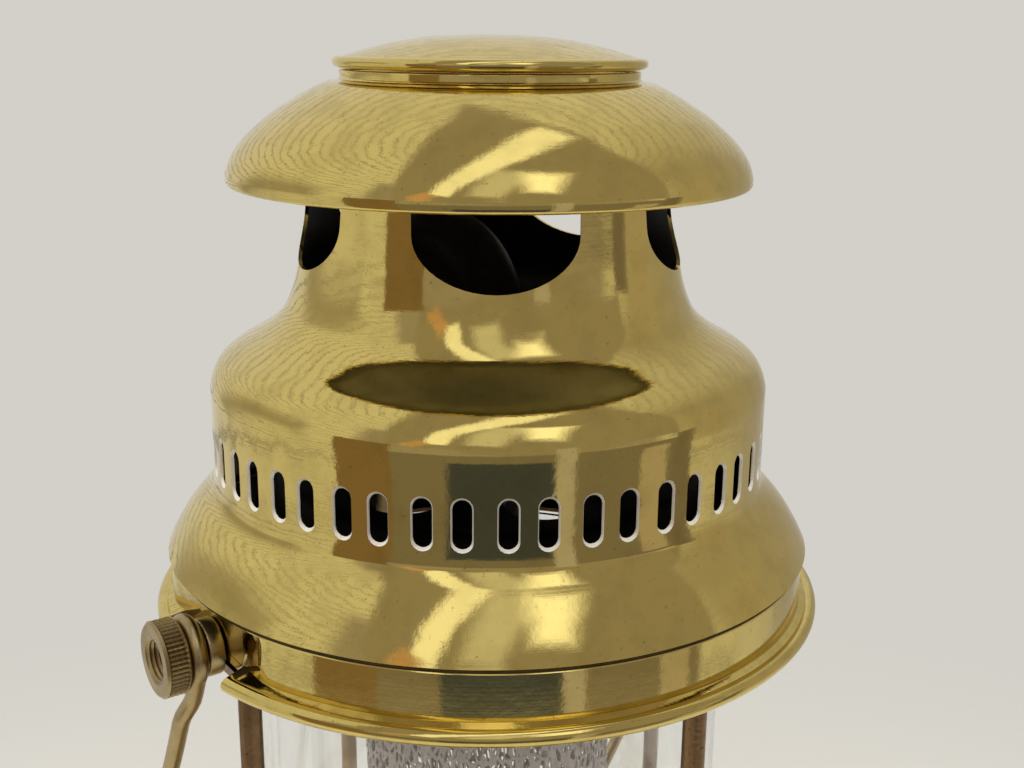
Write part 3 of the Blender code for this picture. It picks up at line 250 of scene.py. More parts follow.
lamp("left soft box", -80, 1.0, 0.9, 0.8, 7.0)
lamp("right soft box", 85, 1.0, 0.9, 0.8, 5.0)
lamp("front soft box", 4, 0.9, 1.0, 0.5, 2.0)
print("studio lamps:", len(bpy.data.lights))

# %% [markdown]
# ## Spun brass
# The hood, the dome and the fount were pressed against a former on a lathe, then polished. The tool
# leaves fine rings, so the bump and the gloss follow the radius and the height and never the angle.
# Handling leaves brown specks about 1 mm wide and faint clouds. The rings are 0.5 mm apart here, coarser
# than the real ones, so that they show.

# %% Finishes
MM = 0.001


def metal(name, bright, dull, rough, ring_mm, ring_depth, speck_mm, stain, metallic=1.0):
    """A turned alloy: rings of one spacing, specks of another, faint clouds and a base gloss."""
    made, tree, shader = paint(name)
    spot = add(tree, "TexCoord").outputs["Object"]
    split = add(tree, "SeparateXYZ", [(0, spot)])
    flat = add(tree, "VectorMath", [(0, spot), (1, (1, 1, 0))], operation='MULTIPLY')
    radius = add(tree, "VectorMath", [(0, flat)], operation='LENGTH')
    rings_at = add(tree, "CombineXYZ", [("X", radius), ("Y", split.outputs["Z"])])
    rings = add(tree, "TexNoise", [("Vector", rings_at), ("Scale", 1 / (ring_mm * MM)), ("Detail", 2.0)])
    grit = add(tree, "TexNoise", [("Vector", spot), ("Scale", 1 / (speck_mm * MM)), ("Detail", 3.0)])
    cloud = add(tree, "TexNoise", [("Vector", spot), ("Scale", 1 / (9 * speck_mm * MM)),
                                   ("Detail", 5.0), ("Roughness", 0.6)])
    speck = add(tree, "MapRange", [("Value", grit.outputs["Fac"]), ("From Min", 0.66),
                                   ("From Max", 0.74), ("To Max", 0.7 * stain)])
    haze = add(tree, "MapRange", [("Value", cloud.outputs["Fac"]), ("From Min", 0.45),
                                  ("From Max", 0.75), ("To Max", 0.4 * stain)])
    worn = add(tree, "Math", [(0, speck), (1, haze)], operation='ADD', use_clamp=True)
    colour = add(tree, "Mix", [(0, worn), (6, linear(bright)), (7, linear(dull))], data_type='RGBA')
    gloss = add(tree, "MapRange", [("Value", worn), ("To Min", rough), ("To Max", rough + 0.25)])
    fine = add(tree, "Bump", [("Height", rings.outputs["Fac"]), ("Strength", ring_depth),
                              ("Distance", ring_mm * MM)])
    waves = add(tree, "Bump", [("Height", cloud.outputs["Fac"]), ("Strength", 0.06),
                               ("Distance", speck_mm * MM), ("Normal", fine)])
    feed(tree, shader, [("Base Color", colour), ("Roughness", gloss),
                        ("Normal", waves), ("Metallic", metallic)])
    return made


polished = metal("spun polished brass", "DEC878", "7A5F2C", 0.05, 0.5, 0.012, 0.9, 0.55)
aged = metal("aged turned brass", "B39F74", "5E4A2C", 0.28, 0.4, 0.10, 0.8, 0.8)
blackened = metal("oil blackened steel", "8A6E4E", "2E2118", 0.30, 0.8, 0.10, 0.9, 1.0)
sooted = metal("sooted steel", "2A2623", "0C0B0A", 0.55, 1.0, 0.05, 1.2, 1.0)
dulled = metal("heat dulled brass", "C9C6BC", "6B665A", 0.30, 0.6, 0.05, 1.2, 0.7)
# Painted shade: a dark colour laid in the hood's crease and beside the nut seats, where shadow falls.
shadowed = metal("tarnished crease", "4E432A", "1E1911", 0.45, 0.4, 0.05, 0.6, 1.0)
grimed = metal("grimed knurl groove", "8A7852", "4A3C24", 0.40, 0.4, 0.05, 0.6, 0.8)
# Painted highlight: the slot chamfers are bare, rougher metal, and their pale colour stands in for the light they
# catch.
bare_highlit = metal("bared punched edge", "F4EFE2", "C9BFA8", 0.42, 0.4, 0.02, 0.6, 0.3, metallic=0.3)
finishes = {"polished_brass": polished, "aged_brass": aged, "blackened_steel": blackened,
            "sooted_steel": sooted}
slot_of = {row["node"]: row["material_slot"] for row in frame["record"]["subparts"]}
bodies = frame["record"]["behaviour"]["bodies"]
body_of = {node: body for body, members in bodies.items() for node in members}


def dressed(piece, node):
    """Lets a finished piece stand for its CAD node, on the node's body."""
    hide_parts(node)
    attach(piece, body_of[node])
    return piece


print("metals:", [finish.name for finish in finishes.values()])

# %% [markdown]
# ## Hood
# One sheet is spun into the whole hood: a band with a rolled bead, a rounded shoulder, the slotted
# band, and a neck. A smooth line through a few measured points gives the outside, the wall is set
# inside it, and a full spin makes the sheet. The slots and windows are then punched through.

# %% Hood sheet
def smooth_line(points, steps=6):
    """A line that passes smoothly through (radius, height) points."""
    spots = [Vector(p) for p in points]
    spots = [2 * spots[0] - spots[1]] + spots + [2 * spots[-1] - spots[-2]]
    made = []
    for a, b, c, d in zip(spots, spots[1:], spots[2:], spots[3:]):
        for step in range(steps):
            t = step / steps
            made.append(0.5 * (2 * b + (c - a) * t + (2 * a - 5 * b + 4 * c - d) * t * t
                               + (3 * b - a - 3 * c + d) * t ** 3))
    return made + [spots[-2]]


def arc(centre, radius, start, end, steps):
    """Points of a circle between two angles in degrees."""
    angles = [math.radians(start + (end - start) * step / steps) for step in range(steps + 1)]
    return [Vector((centre[0] + radius * math.cos(a), centre[1] + radius * math.sin(a))) for a in angles]


def walled(line, wall):
    """The closed section of a sheet: the outer line up, the inner line back down."""
    line = [Vector(point) for point in line]
    inner = []
    for index, point in enumerate(line):
        run = line[min(index + 1, len(line) - 1)] - line[max(index - 1, 0)]
        spot = point + Vector((-run.y, run.x)).normalized() * wall
        spot.x = max(spot.x, 0.0) if point.x > 1e-6 else 0.0
        if not inner or (spot - inner[-1]).dot(run) > 0:
            inner.append(spot)
    return line + inner[::-1]


def spun(name, section, material, steps=96, place=Matrix.Identity(4), smooth=30):
    """A solid of revolution from a closed section, in millimetres, set at its place in metres."""
    form = bmesh.new()
    ring = [form.verts.new((x * MM, 0, z * MM)) for x, z in section]
    edges = [form.edges.new(pair) for pair in zip(ring, ring[1:] + ring[:1])
             if max(pair[0].co.x, pair[1].co.x) > 1e-7]
    bmesh.ops.spin(form, geom=ring + edges, cent=(0, 0, 0), axis=(0, 0, 1), angle=math.tau, steps=steps,
                   use_merge=True)
    bmesh.ops.transform(form, matrix=place, verts=form.verts)
    return placed(name, form, material, smooth)


RIM = RIM_Z / MM             # the hood's heights below are above its rim bead
WALL = 0.8
PAD_FACE = 70.3              # distance of the flat seats of the bail nuts from the axis
BAND_RADIUS = 74.1
BEAD_CIRCLE, BEAD_RADIUS = 76.3, 1.7
band = [(BAND_RADIUS, z) for z in (2.1, 4, 6, 8, 10, 11.2, 11.9)]
band += [(73.95, 12.1), (73.85, 12.4), (73.95, 12.7), (74.35, 12.9)]
shoulder = smooth_line([(74.75, 13.35), (73.6, 15.6), (72.2, 18.0), (70.3, 20.8), (67.9, 23.6),
                        (65.6, 25.9)])
foot = smooth_line([(64.6, 27.2), (63.9, 28.6), (63.65, 30.4)], 4)
slot_band = [(63.6, z) for z in (32, 35, 38, 41, 44, 47, 49.5)]
slope = smooth_line([(63.55, 51.2), (62.9, 53.4), (61.2, 56.2), (57.6, 58.9), (53.6, 61.2), (49.8, 63.9),
                     (46.9, 66.9), (45.3, 70.2), (44.2, 73.4), (43.4, 77.0), (42.8, 81.0), (42.3, 86.0),
                     (41.7, 93.6), (41.3, 102.0)], 4)
outside = band + shoulder + foot + slot_band + slope
bead = arc((BEAD_CIRCLE, 0), BEAD_RADIUS, -170, 118, 16)
lip = [(73.35, 0.2), (73.45, -0.35), (74.3, -0.45)]
hood_section = lip + bead + walled(outside, WALL)
hood = spun("hood_shell_spun", [(r, RIM + z) for r, z in hood_section], polished, 240)
print("hood section points:", len(hood_section))

# %% [markdown]
# The bail nuts need flat seats, so the band is pressed flat on the left and on the right, and the bead
# is squeezed out there. Moving the vertices as the press would keeps the sheet in one piece.

# %% Flat seats
def eased(value, start, end):
    """A smooth step from 0 at start to 1 at end."""
    share = min(max((value - start) / (end - start), 0.0), 1.0)
    return share * share * (3 - 2 * share)


for vertex in hood.data.vertices:
    x, y, z = vertex.co / MM
    height, radius = z - RIM, math.hypot(x, y)
    flat = PAD_FACE - WALL if radius < BAND_RADIUS - WALL / 2 else PAD_FACE
    inside = 1 - eased(height, 11.2, 12.2)
    bead_kept = eased(abs(y), 14.8, 16.2) if radius > BAND_RADIUS + 0.1 and height < 2.4 else 0.0
    pressed = min(abs(x), flat + 0.12 * max(height - 10, 0)) if abs(x) > 60 else abs(x)
    vertex.co.x = math.copysign(abs(x) + (pressed - abs(x)) * inside * (1 - bead_kept), x) * MM
hood.data.update()
print("seat half width:", round(math.sqrt(BAND_RADIUS ** 2 - PAD_FACE ** 2), 1), "mm")

# %% [markdown]
# Air leaves through pairs of slots and five windows under the dome. All are punched. The slots have a
# chamfer, so their cutter has a flared mouth that cuts the hole and the chamfer together. Hot gas blackens
# the inside, so the faces that look inwards get a sooted finish. The crease under the shoulder and the floor
# beside each nut seat are painted dark as shade, and the bare chamfers of the slots are painted pale as a
# highlight.

# %% Slots and windows
def punches(outline, count, first_turn, inner, mouth, outer, flare):
    """Radial cutters of one outline, flared outside the mouth; turns are degrees from -Y."""
    form = bmesh.new()
    for index in range(count):
        face = form.faces.new([form.verts.new((x * MM, (RIM + z) * MM, inner * MM)) for x, z in outline])
        centre = face.calc_center_median()
        made = [face]
        ring = set(face.verts)
        for depth, grow in ((mouth - inner, 0.0), (outer - mouth, flare)):
            grown = bmesh.ops.extrude_face_region(form, geom=made[-1:])["geom"]
            corners = [v for v in grown if isinstance(v, bmesh.types.BMVert)]
            made.append([f for f in grown if isinstance(f, bmesh.types.BMFace)][0])
            ring.update(corners)
            for corner in corners:
                away = Vector((corner.co.x - centre.x, corner.co.y - centre.y, 0))
                corner.co += away.normalized() * grow * MM + Vector((0, 0, depth * MM))
        bmesh.ops.delete(form, geom=made[1:2], context='FACES_ONLY')
        spin = Matrix.Rotation(math.radians(first_turn + 360 * index / count), 4, 'Z')
        bmesh.ops.transform(form, matrix=spin @ Matrix.Rotation(math.radians(90), 4, 'X'), verts=list(ring))
    return placed("punches", form, sooted)


def combine(target, other, operation='DIFFERENCE'):
    """Cuts, joins or meets the target with another object, which is then taken away."""
    change = target.modifiers.new("combine", 'BOOLEAN')
    change.object, change.operation, change.solver = other, operation, 'EXACT'
    graph = bpy.context.evaluated_depsgraph_get()
    mesh = bpy.data.meshes.new_from_object(target.evaluated_get(graph))
    target.modifiers.clear()
    target.data = mesh
    bpy.data.objects.remove(other)
    mesh.shade_smooth()
    mesh.set_sharp_from_angle(angle=math.radians(30))


slot = arc((0, 40.5), 1.9, 0, 180, 8) + arc((0, 34.3), 1.9, 180, 360, 8)
for offset in (-3.5, 3.5):
    combine(hood, punches(slot, 24, 2.5 + offset, 50, 63.0, 66.0, 3.0))
sill = [(16.75 * p.x, 88.7 + 11.0 * p.y) for p in arc((0, 0), 1, 180, 360, 24)]
window = sill + [(16.75, 104), (-16.75, 104)]
combine(hood, punches(window, 5, -32.6, 30, 46.5, 50, 0.0))


def soiled_inside(piece, finish, above=0.0):
    """Gives a finish to the faces of a sheet that look inwards or down, above a height in millimetres."""
    piece.data.materials.append(finish)
    for face in piece.data.polygons:
        out = Vector((face.center.x, face.center.y, 0)).normalized()
        if face.normal.dot(out) + face.normal.z < -0.15 and face.center.z > above * MM:
            face.material_index = 1


soiled_inside(hood, sooted, RIM + 2.4)
# Painted shade: the crease under the shoulder and the floor beside each nut seat are coloured dark where shadow
# falls.
hood.data.materials.append(shadowed)
# Painted highlight: the bare slot chamfers are coloured pale as if catching light.
hood.data.materials.append(bare_highlit)
for face in hood.data.polygons:
    height, radius = face.center.z / MM - RIM, math.hypot(face.center.x, face.center.y) / MM
    crease = 12.0 < height < 13.0 and radius > 73.5
    beside_seat = abs(face.center.y) / MM < 17 and 70.5 < radius < 75.6
    groove = beside_seat and 0.9 < height < 2.2 and face.normal.z > 0.4
    outwards = Vector((face.center.x, face.center.y, 0)).normalized()
    if crease or groove:
        face.material_index = 2
    elif 31 < height < 44 and radius > 62.9 and 0.3 < face.normal.dot(outwards) < 0.95:
        face.material_index = 3
dressed(hood, "hood_shell")
print("hood faces:", len(hood.data.polygons))

# %% [markdown]
# ## Dome and disc
# The dome shields the windows from rain. It ends in a rounded hem, and carries a low turret that a
# crimped disc closes. The disc of the photo is stamped; here it stays plain.

# %% Dome and disc
DOME_RADIUS = 58.25
dome_line = arc((57.3, 96.2), 0.9, -90, 0, 5) + smooth_line(
    [(DOME_RADIUS, 97.4), (57.7, 99.4), (56.6, 101.7), (54.5, 104.5), (51.4, 107.5), (47.6, 110.5),
     (43.0, 113.4), (39.6, 115.3), (37.0, 116.6)], 5)
dome_line += [(35.6, 117.1), (34.2, 117.3), (33.4, 117.5), (33.1, 117.9), (33.1, 119.2)]
dome_line += arc((32.7, 119.2), 0.4, 0, 90, 3)[1:] + [(20, 119.6), (0, 119.6)]
dome = spun("hood_dome_spun", [(r, RIM + z) for r, z in walled(dome_line, WALL)], polished, 240)
soiled_inside(dome, dulled, RIM + 96.4)
dressed(dome, "hood_dome")
disc_line = arc((33.4, 121.1), 1.2, -180, 80, 14) + smooth_line(
    [(32.4, 122.35), (31.2, 122.75), (28.0, 123.7), (22.0, 125.2), (14.0, 126.5), (6.0, 127.0),
     (0.0, 127.1)], 4)
disc_under = [(0, 126.2), (14, 125.6), (28, 122.8), (32.0, 121.6)]
disc = spun("hood_top_disc_spun", [(r, RIM + z) for r, z in disc_line + disc_under], polished, 160)
dressed(disc, "hood_top_disc")
print("dome radius:", DOME_RADIUS, "mm")

# %% [markdown]
# ## Bail nuts
# The bail turns in a groove behind each knurled head. A knurl is rolled into the rim: here straight
# ridges with a shallow diamond across them. The head is spun with many rows, and its vertices are
# pushed in along the ridges and along both slants. Old polish stays in the grooves, so they are dark.

# %% Bail nuts
NUT_Z = 273.06               # height of the bail's axis
KNURLS, KNURL_RADIUS = 49, 8.25


def knurled(piece, place, radius, low, high, count, depth):
    """Rolls ridges with a shallow diamond across them into a turned piece at one radius, in millimetres."""
    back = place.inverted()
    pitch = math.tau * radius / count
    for vertex in piece.data.vertices:
        spot = (back @ vertex.co) / MM
        if low < spot.z < high and abs(math.hypot(spot.x, spot.y) - radius) < 0.05:
            around = math.atan2(spot.y, spot.x) * radius / pitch
            ridge, *slants = [abs((around + lean * spot.z / pitch) % 1 - 0.5) * 2 for lean in (0, 1, -1)]
            shrink = 1 - depth * (0.75 * (1 - ridge) + 0.25 * (1 - min(slants))) / radius
            vertex.co = place @ Vector((spot.x * shrink * MM, spot.y * shrink * MM, spot.z * MM))
    piece.data.update()
    piece.data.set_sharp_from_angle(angle=math.radians(30))
    piece.data.materials.append(grimed)
    for face in piece.data.polygons:
        spot = (back @ face.center) / MM
        if low < spot.z < high and 0.5 * depth < radius - math.hypot(spot.x, spot.y) < 1.2 * depth:
            face.material_index = 1


def rows(radius, low, high, step):
    """Points up a straight wall, one for each step."""
    count = round((high - low) / step)
    return [(radius, low + (high - low) * index / count) for index in range(count + 1)]


def standing(spot, way):
    """A place in metres, from a spot in millimetres: its Z runs along the way and its X lies level."""
    ahead = Vector(way).normalized()
    across = Vector((0, 0, 1)).cross(ahead).normalized()
    turn = Matrix((across, ahead.cross(across), ahead)).transposed()
    return Matrix.Translation(Vector(spot) * MM) @ turn.to_4x4()


thread = [(4.75 if index % 2 else 4.3, 13.1 - 0.5 * index) for index in range(9)]
nut_section = [(3.1, 0.3), (5.8, 0.3)] + arc((5.75, 0.8), 0.5, -90, 0, 3) + arc((5.75, 3.4), 0.5, 0, 90, 3)
nut_section += [(4.4, 3.9)] + arc((4.4, 4.3), 0.4, -90, -180, 3) + arc((4.4, 7.95), 0.4, 180, 90, 3)
nut_section += [(7.5, 8.35)] + rows(KNURL_RADIUS, 8.95, 13.1, 0.28)
nut_section += [(7.6, 13.7), (5.25, 13.7), (4.8, 13.3)] + thread + [(3.1, 8.9)]
for name, sign in (("left", -1), ("right", 1)):
    place = standing((sign * PAD_FACE, 0, NUT_Z), (sign, 0, 0))
    nut = spun(f"{name}_bail_nut_knurled", nut_section, aged, 4 * KNURLS, place)
    knurled(nut, place, KNURL_RADIUS, 9.0, 13.05, KNURLS, 0.65)
    dressed(nut, f"{name}_bail_nut")
print("knurl pitch:", round(math.tau * KNURL_RADIUS / KNURLS, 2), "mm")

# %% [markdown]
# ## Bail
# The bail is one wire. Each end is rolled into an eye round its nut, steps out just enough to clear the
# bead, widens slowly and runs down to a half-round bow. It leans back on the shoulder of the fount.

# %% Bail
def formed(data):
    """The bmesh of a curve or a text, by way of an object that is taken away again."""
    blank = linked("blank", data)
    form = bmesh.new()
    form.from_mesh(bpy.data.meshes.new_from_object(blank))
    bpy.data.objects.remove(blank)
    return form


def wire(name, points, radius, material, bore=0.0, closed=False):
    """A round wire through points in millimetres, or a tube with a bore, as one closed mesh."""
    curve = bpy.data.curves.new(name, 'CURVE')
    curve.dimensions = '3D'
    curve.bevel_depth = radius * MM
    curve.bevel_resolution = 6
    curve.use_fill_caps = not bore
    spline = curve.splines.new('POLY')
    spline.points.add(len(points) - 1)
    spline.use_cyclic_u = closed
    for spot, point in zip(spline.points, points):
        spot.co = (*(Vector(point) * MM), 1)
    form = formed(curve)
    if bore:
        bmesh.ops.recalc_face_normals(form, faces=form.faces)
        bmesh.ops.solidify(form, geom=form.faces[:], thickness=(radius - bore) * MM)
    return placed(name, form, material, 40)


LENGTH, LEAN = 215.0, math.radians(24.05)
WIRE_RADIUS = 1.9
LEG_X = BEAD_CIRCLE + BEAD_RADIUS + 0.9 + WIRE_RADIUS    # 0.9 mm clear of the bead
eye_x = PAD_FACE + 0.3 + 3.6 + 2.4
half = [Vector((eye_x, p.x, p.y)) for p in arc((0, 0), 6.3, -70, 200, 36)]
start_y, start_z = half[-1].y, half[-1].z
bow_drop = LENGTH - LEG_X
for step in range(1, 41):
    drop = -start_z + (bow_drop + start_z) * (step / 40) ** 2
    widened = (LEG_X - eye_x) * (0.45 * eased(drop, 8, 16) + 0.55 * eased(drop, 16, 90))
    half.append(Vector((eye_x + widened, start_y * (1 - (drop + start_z) / (bow_drop + start_z)), -drop)))
half += [Vector((p.x, 0, p.y)) for p in arc((0, -bow_drop), LEG_X, 0, -90, 40)[1:]]
whole = [Vector((-p.x, p.y, p.z)) for p in half] + half[-2::-1]
lean = Matrix.Translation((0, 0, NUT_Z)) @ Matrix.Rotation(LEAN, 4, 'X')
dressed(wire("bail_wire", [lean @ p for p in whole], WIRE_RADIUS, aged), "bail")
print("bail wire:", round(sum((b - a).length for a, b in zip(whole, whole[1:]))), "mm long")

# %% [markdown]
# ## Globe and cage
# The globe is a plain drawn tube with fire-polished ends. It stands in a gallery and four steel
# uprights hold the hood over it. Clear soda-lime glass refracts at 1.52. Two rows of points near each end
# keep the rounding of the ends out of the straight wall, which would otherwise bend light like a lens.

# %% Globe and cage
glass, tree, shader = paint("clear drawn glass")
smear = add(tree, "TexNoise", [("Vector", add(tree, "TexCoord").outputs["Object"]),
                               ("Scale", 1 / (18 * MM)), ("Detail", 4.0)])
wiped = add(tree, "MapRange", [("Value", smear.outputs["Fac"]), ("From Min", 0.45),
                               ("From Max", 0.8), ("To Min", 0.0), ("To Max", 0.06)])
feed(tree, shader, [("Base Color", linear("FCFDFD")), ("Transmission Weight", 1.0), ("IOR", 1.52),
                    ("Roughness", wiped)])
globe_low, globe_high = 151.36, 267.36
wall_rows = (globe_low + 2, globe_low + 4, globe_high - 4, globe_high - 2)
tube = arc((55.25, globe_low + 1.25), 1.25, 180, 360, 8) + [(56.5, z) for z in wall_rows]
tube += arc((55.25, globe_high - 1.25), 1.25, 0, 180, 8) + [(54.0, z) for z in wall_rows[::-1]]
dressed(spun("globe_glass", tube, glass, 160), "globe")
rod = [(0, 98.5), (2.2, 98.5), (2.5, 98.8), (2.5, 265.2), (2.2, 265.5), (0, 265.5)]
for count in range(4):
    angle = math.radians(6.0 + 90 * count)
    place = Matrix.Translation(Vector((66.7 * math.cos(angle), 66.7 * math.sin(angle), 0)) * MM)
    dressed(spun(f"upright_{count + 1}_rod", rod, blackened, 24, place), f"upright_{count + 1}")
gallery = [(48.0, 149.9), (63.2, 149.9)] + arc((63.3, 150.5), 0.6, -90, 90, 6) + [(58.9, 151.1)]
gallery += arc((58.9, 152.0), 0.9, -90, -180, 4) + arc((57.4, 158.4), 0.6, 0, 180, 6)
gallery += [(56.8, 151.1), (48.0, 151.1)]
dressed(spun("gallery_ring", gallery, polished, 160), "gallery")
base = [(50.0, 95.3), (69.2, 95.3), (69.2, 93.8), (70.7, 93.8), (70.7, 97.0)]
base += arc((69.8, 97.0), 0.9, 0, 90, 5)[1:] + [(50.4, 97.9), (50.0, 97.5)]
dressed(spun("cage_base_ring", base, polished, 160), "cage_base")
print("globe:", globe_high - globe_low, "mm high")

# %% [markdown]
# ## Clay, rubber, hide and enamel
# The pieces that aren't metal each have a grain of their own size: fired clay is mottled, moulded rubber
# has a fine bloom, oiled hide is pebbled and dial enamel has a slight orange peel. One noise gives both the
# mottling and the bump, so the two agree.

# %% Matt materials
def matter(name, light, dark, rough, grain_mm, depth):
    """A material with a mottled colour, and a bump and a gloss that follow the mottling."""
    made, tree, shader = paint(name)
    spot = add(tree, "TexCoord").outputs["Object"]
    grain = add(tree, "TexNoise", [("Vector", spot), ("Scale", 1 / (grain_mm * MM)), ("Detail", 5.0)])
    shade = add(tree, "MapRange", [("Value", grain.outputs["Fac"]), ("From Min", 0.35), ("From Max", 0.7)])
    colour = add(tree, "Mix", [(0, shade), (6, linear(light)), (7, linear(dark))], data_type='RGBA')
    gloss = add(tree, "MapRange", [("Value", grain.outputs["Fac"]), ("To Min", rough - 0.08),
                                   ("To Max", rough + 0.08)])
    bump = add(tree, "Bump", [("Height", grain.outputs["Fac"]), ("Strength", depth),
                              ("Distance", grain_mm * MM)])
    feed(tree, shader, [("Base Color", colour), ("Roughness", gloss), ("Normal", bump)])
    return made


finishes["burner_ceramic"] = matter("fired burner clay", "E2D8C4", "B7A78C", 0.75, 1.2, 0.15)
finishes["black_rubber"] = matter("moulded black rubber", "232221", "141313", 0.65, 0.4, 0.10)
finishes["pump_hide"] = matter("oiled pump hide", "6B4226", "3C2414", 0.60, 0.9, 0.35)
finishes["dial_enamel"] = matter("white dial enamel", "F0EBDD", "E6DFCC", 0.28, 2.0, 0.02)
finishes["clear_glass"] = glass
tie_thread = matter("twisted tie thread", "CFC4B4", "93877A", 0.85, 0.25, 0.30)
ink = matter("black dial ink", "1C1B1A", "2B2926", 0.45, 0.3, 0.05)
print("finishes:", sorted(finishes))

# %% [markdown]
# ## Cage ring and casing
# A flanged steel ring stands on the uprights and holds the hood. The casing in it is a bell over the
# burner, and seven holes in its top let the hot gas rise. Both are turned from their sections.

# %% Cage ring and casing
def drills(radius, low, high, place=Matrix.Identity(4), spots=((0, 0),)):
    """Round cutters of one radius along a place's Z, between two heights in millimetres."""
    form = bmesh.new()
    for x, y in spots:
        middle = place @ Matrix.Translation(Vector((x, y, (low + high) / 2)) * MM)
        bmesh.ops.create_cone(form, cap_ends=True, segments=48, radius1=radius * MM, radius2=radius * MM,
                              depth=(high - low) * MM, matrix=middle)
    return placed("drills", form, sooted)


def turned(node, section, steps=96, place=Matrix.Identity(4)):
    """A turned piece that stands for its CAD node, in the finish of the node's slot."""
    points = [Vector(point) for point in section]
    return dressed(spun(f"{node}_turned", points, finishes[slot_of[node]], steps, place), node)


BURNER_TURN = math.radians(101)          # the vaporizer's side, from +X
turned("cage_top_ring", [(60.2, 266.2), (60.5, 265.9), (68.2, 265.9)] + arc((68.2, 266.9), 1.0, -90, 0, 6)
       + [(69.2, 278.5), (68.9, 278.8), (68.0, 278.8), (67.7, 278.5), (67.7, 267.4), (60.5, 267.4),
          (60.2, 267.1)], 160)
casing_line = [(67.4, 268.46), (62.8, 268.46)] + smooth_line(
    [(61.9, 269.0), (60.5, 277.0), (57.7, 286.4), (53.6, 295.0), (50.2, 300.2), (48.2, 301.7),
     (46.4, 302.0)]) + [(8.3, 302.0)]
casing = turned("inner_casing", walled(casing_line, 0.8), 128)
hole_turns = [BURNER_TURN + math.tau * k / 7 for k in range(7)]
ring_spots = [(34.5 * math.cos(a), 34.5 * math.sin(a)) for a in hole_turns]
combine(casing, drills(8.5, 296, 308, spots=ring_spots))
print("casing holes:", len(ring_spots))

# %% [markdown]
# ## Burner
# Gas leaves the jet, draws air into the mouth of the gooseneck and mixes with it on the way to the
# chamber. The bend is bent tube, so it is a round wire with a bore. Below the chamber a clay nozzle
# carries the mantle in a groove.

# %% Burner
def tangent_curve(first, first_way, last, last_way, steps):
    """Points of a cubic curve between two spots, leaving and arriving along two directions."""
    pull = (last - first).length / 3
    near, far = first + first_way * pull, last - last_way * pull
    shares = [(step + 1) / steps for step in range(steps)]
    return [first * (1 - t) ** 3 + near * 3 * t * (1 - t) ** 2 + far * 3 * t * t * (1 - t) + last * t ** 3
            for t in shares]


BEND, BEND_Z, MOUTH_OUT = 16.0, 336.0, 37.0
route = [Vector((0, 280.8)), Vector((0, 308.0))] + arc((BEND, BEND_Z), BEND, 180, 30, 30)
fall = Vector((math.cos(math.radians(-60)), math.sin(math.radians(-60))))
route += tangent_curve(route[-1], fall, Vector((MOUTH_OUT, BEND_Z - BEND)), Vector((0, -1)), 10)
route.append(Vector((MOUTH_OUT, 307.5)))
burner_way = Vector((math.cos(BURNER_TURN), math.sin(BURNER_TURN), 0))
bent = [burner_way * p.x + Vector((0, 0, p.y)) for p in route]
dressed(wire("mixing_tube_bent", bent, 8.0, sooted, 6.8), "mixing_tube")
turned("mixing_chamber", [(6.5, 264.3), (6.8, 264.0), (11.2, 264.0), (11.6, 264.3), (13.8, 271.0),
                          (14.0, 271.6), (14.0, 274.5), (13.7, 275.0), (8.4, 280.2), (8.0, 280.5),
                          (6.5, 280.5)])
turned("burner_nozzle", [(6.5, 248.6), (6.9, 248.2)] + arc((10.9, 248.8), 0.6, -90, 0, 5)
       + [(11.5, 254.4), (11.2, 254.7), (10.0, 254.8), (9.9, 255.1), (9.9, 257.9), (10.0, 258.2),
          (11.2, 258.3), (11.5, 258.6)] + arc((10.9, 263.1), 0.6, 0, 90, 5) + [(6.5, 263.7)])
print("gooseneck:", round(sum((b - a).length for a, b in zip(route, route[1:]))), "mm long")

# %% [markdown]
# ## Mantle
# The mantle is a knitted tube, drawn together at the bottom and tied in the groove of the nozzle. It
# isn't burnt in yet, so it is still soft: the cloth lies in gathers below the tie and is crinkled
# further down. The bag is a grid of rows and columns, so each point can be pushed in along its own
# gather, and its UV map counts stitches and rows.

# %% Mantle
STITCH, ROW = 1.5, 3.4                  # width and height of a stitch in millimetres
mantle_line = smooth_line([(0.0, 186.2), (9.5, 187.4), (19.0, 191.8), (26.2, 199.6), (29.8, 209.0),
                           (30.4, 217.0)], 8)
mantle_line += smooth_line([(30.4, 219.0), (30.4, 236.0), (29.6, 243.0), (26.0, 249.2), (19.8, 253.4),
                            (14.2, 255.4), (11.6, 256.4), (11.0, 257.4), (11.0, 258.0)], 8)
COLUMNS = 240
girth = math.tau * max(point.x for point in mantle_line)
runs = [0.0]
for before, after in zip(mantle_line, mantle_line[1:]):
    runs.append(runs[-1] + (after - before).length)


def gather(point, angle):
    """How far the cloth is drawn in, in millimetres: pleats near the tie, crinkles further down."""
    near_tie = eased(point.y, 236, 256) * (1 - eased(point.y, 256.2, 257.2))
    pleat = 0.5 + 0.5 * math.sin(26 * angle + 1.1 * math.sin(5 * angle))
    crinkle = math.sin(17 * angle + 0.10 * point.y) * math.sin(11 * angle - 0.06 * point.y + 1.0)
    return 2.6 * near_tie * pleat + 0.45 * (1 + crinkle) * eased(point.x, 9, 26)


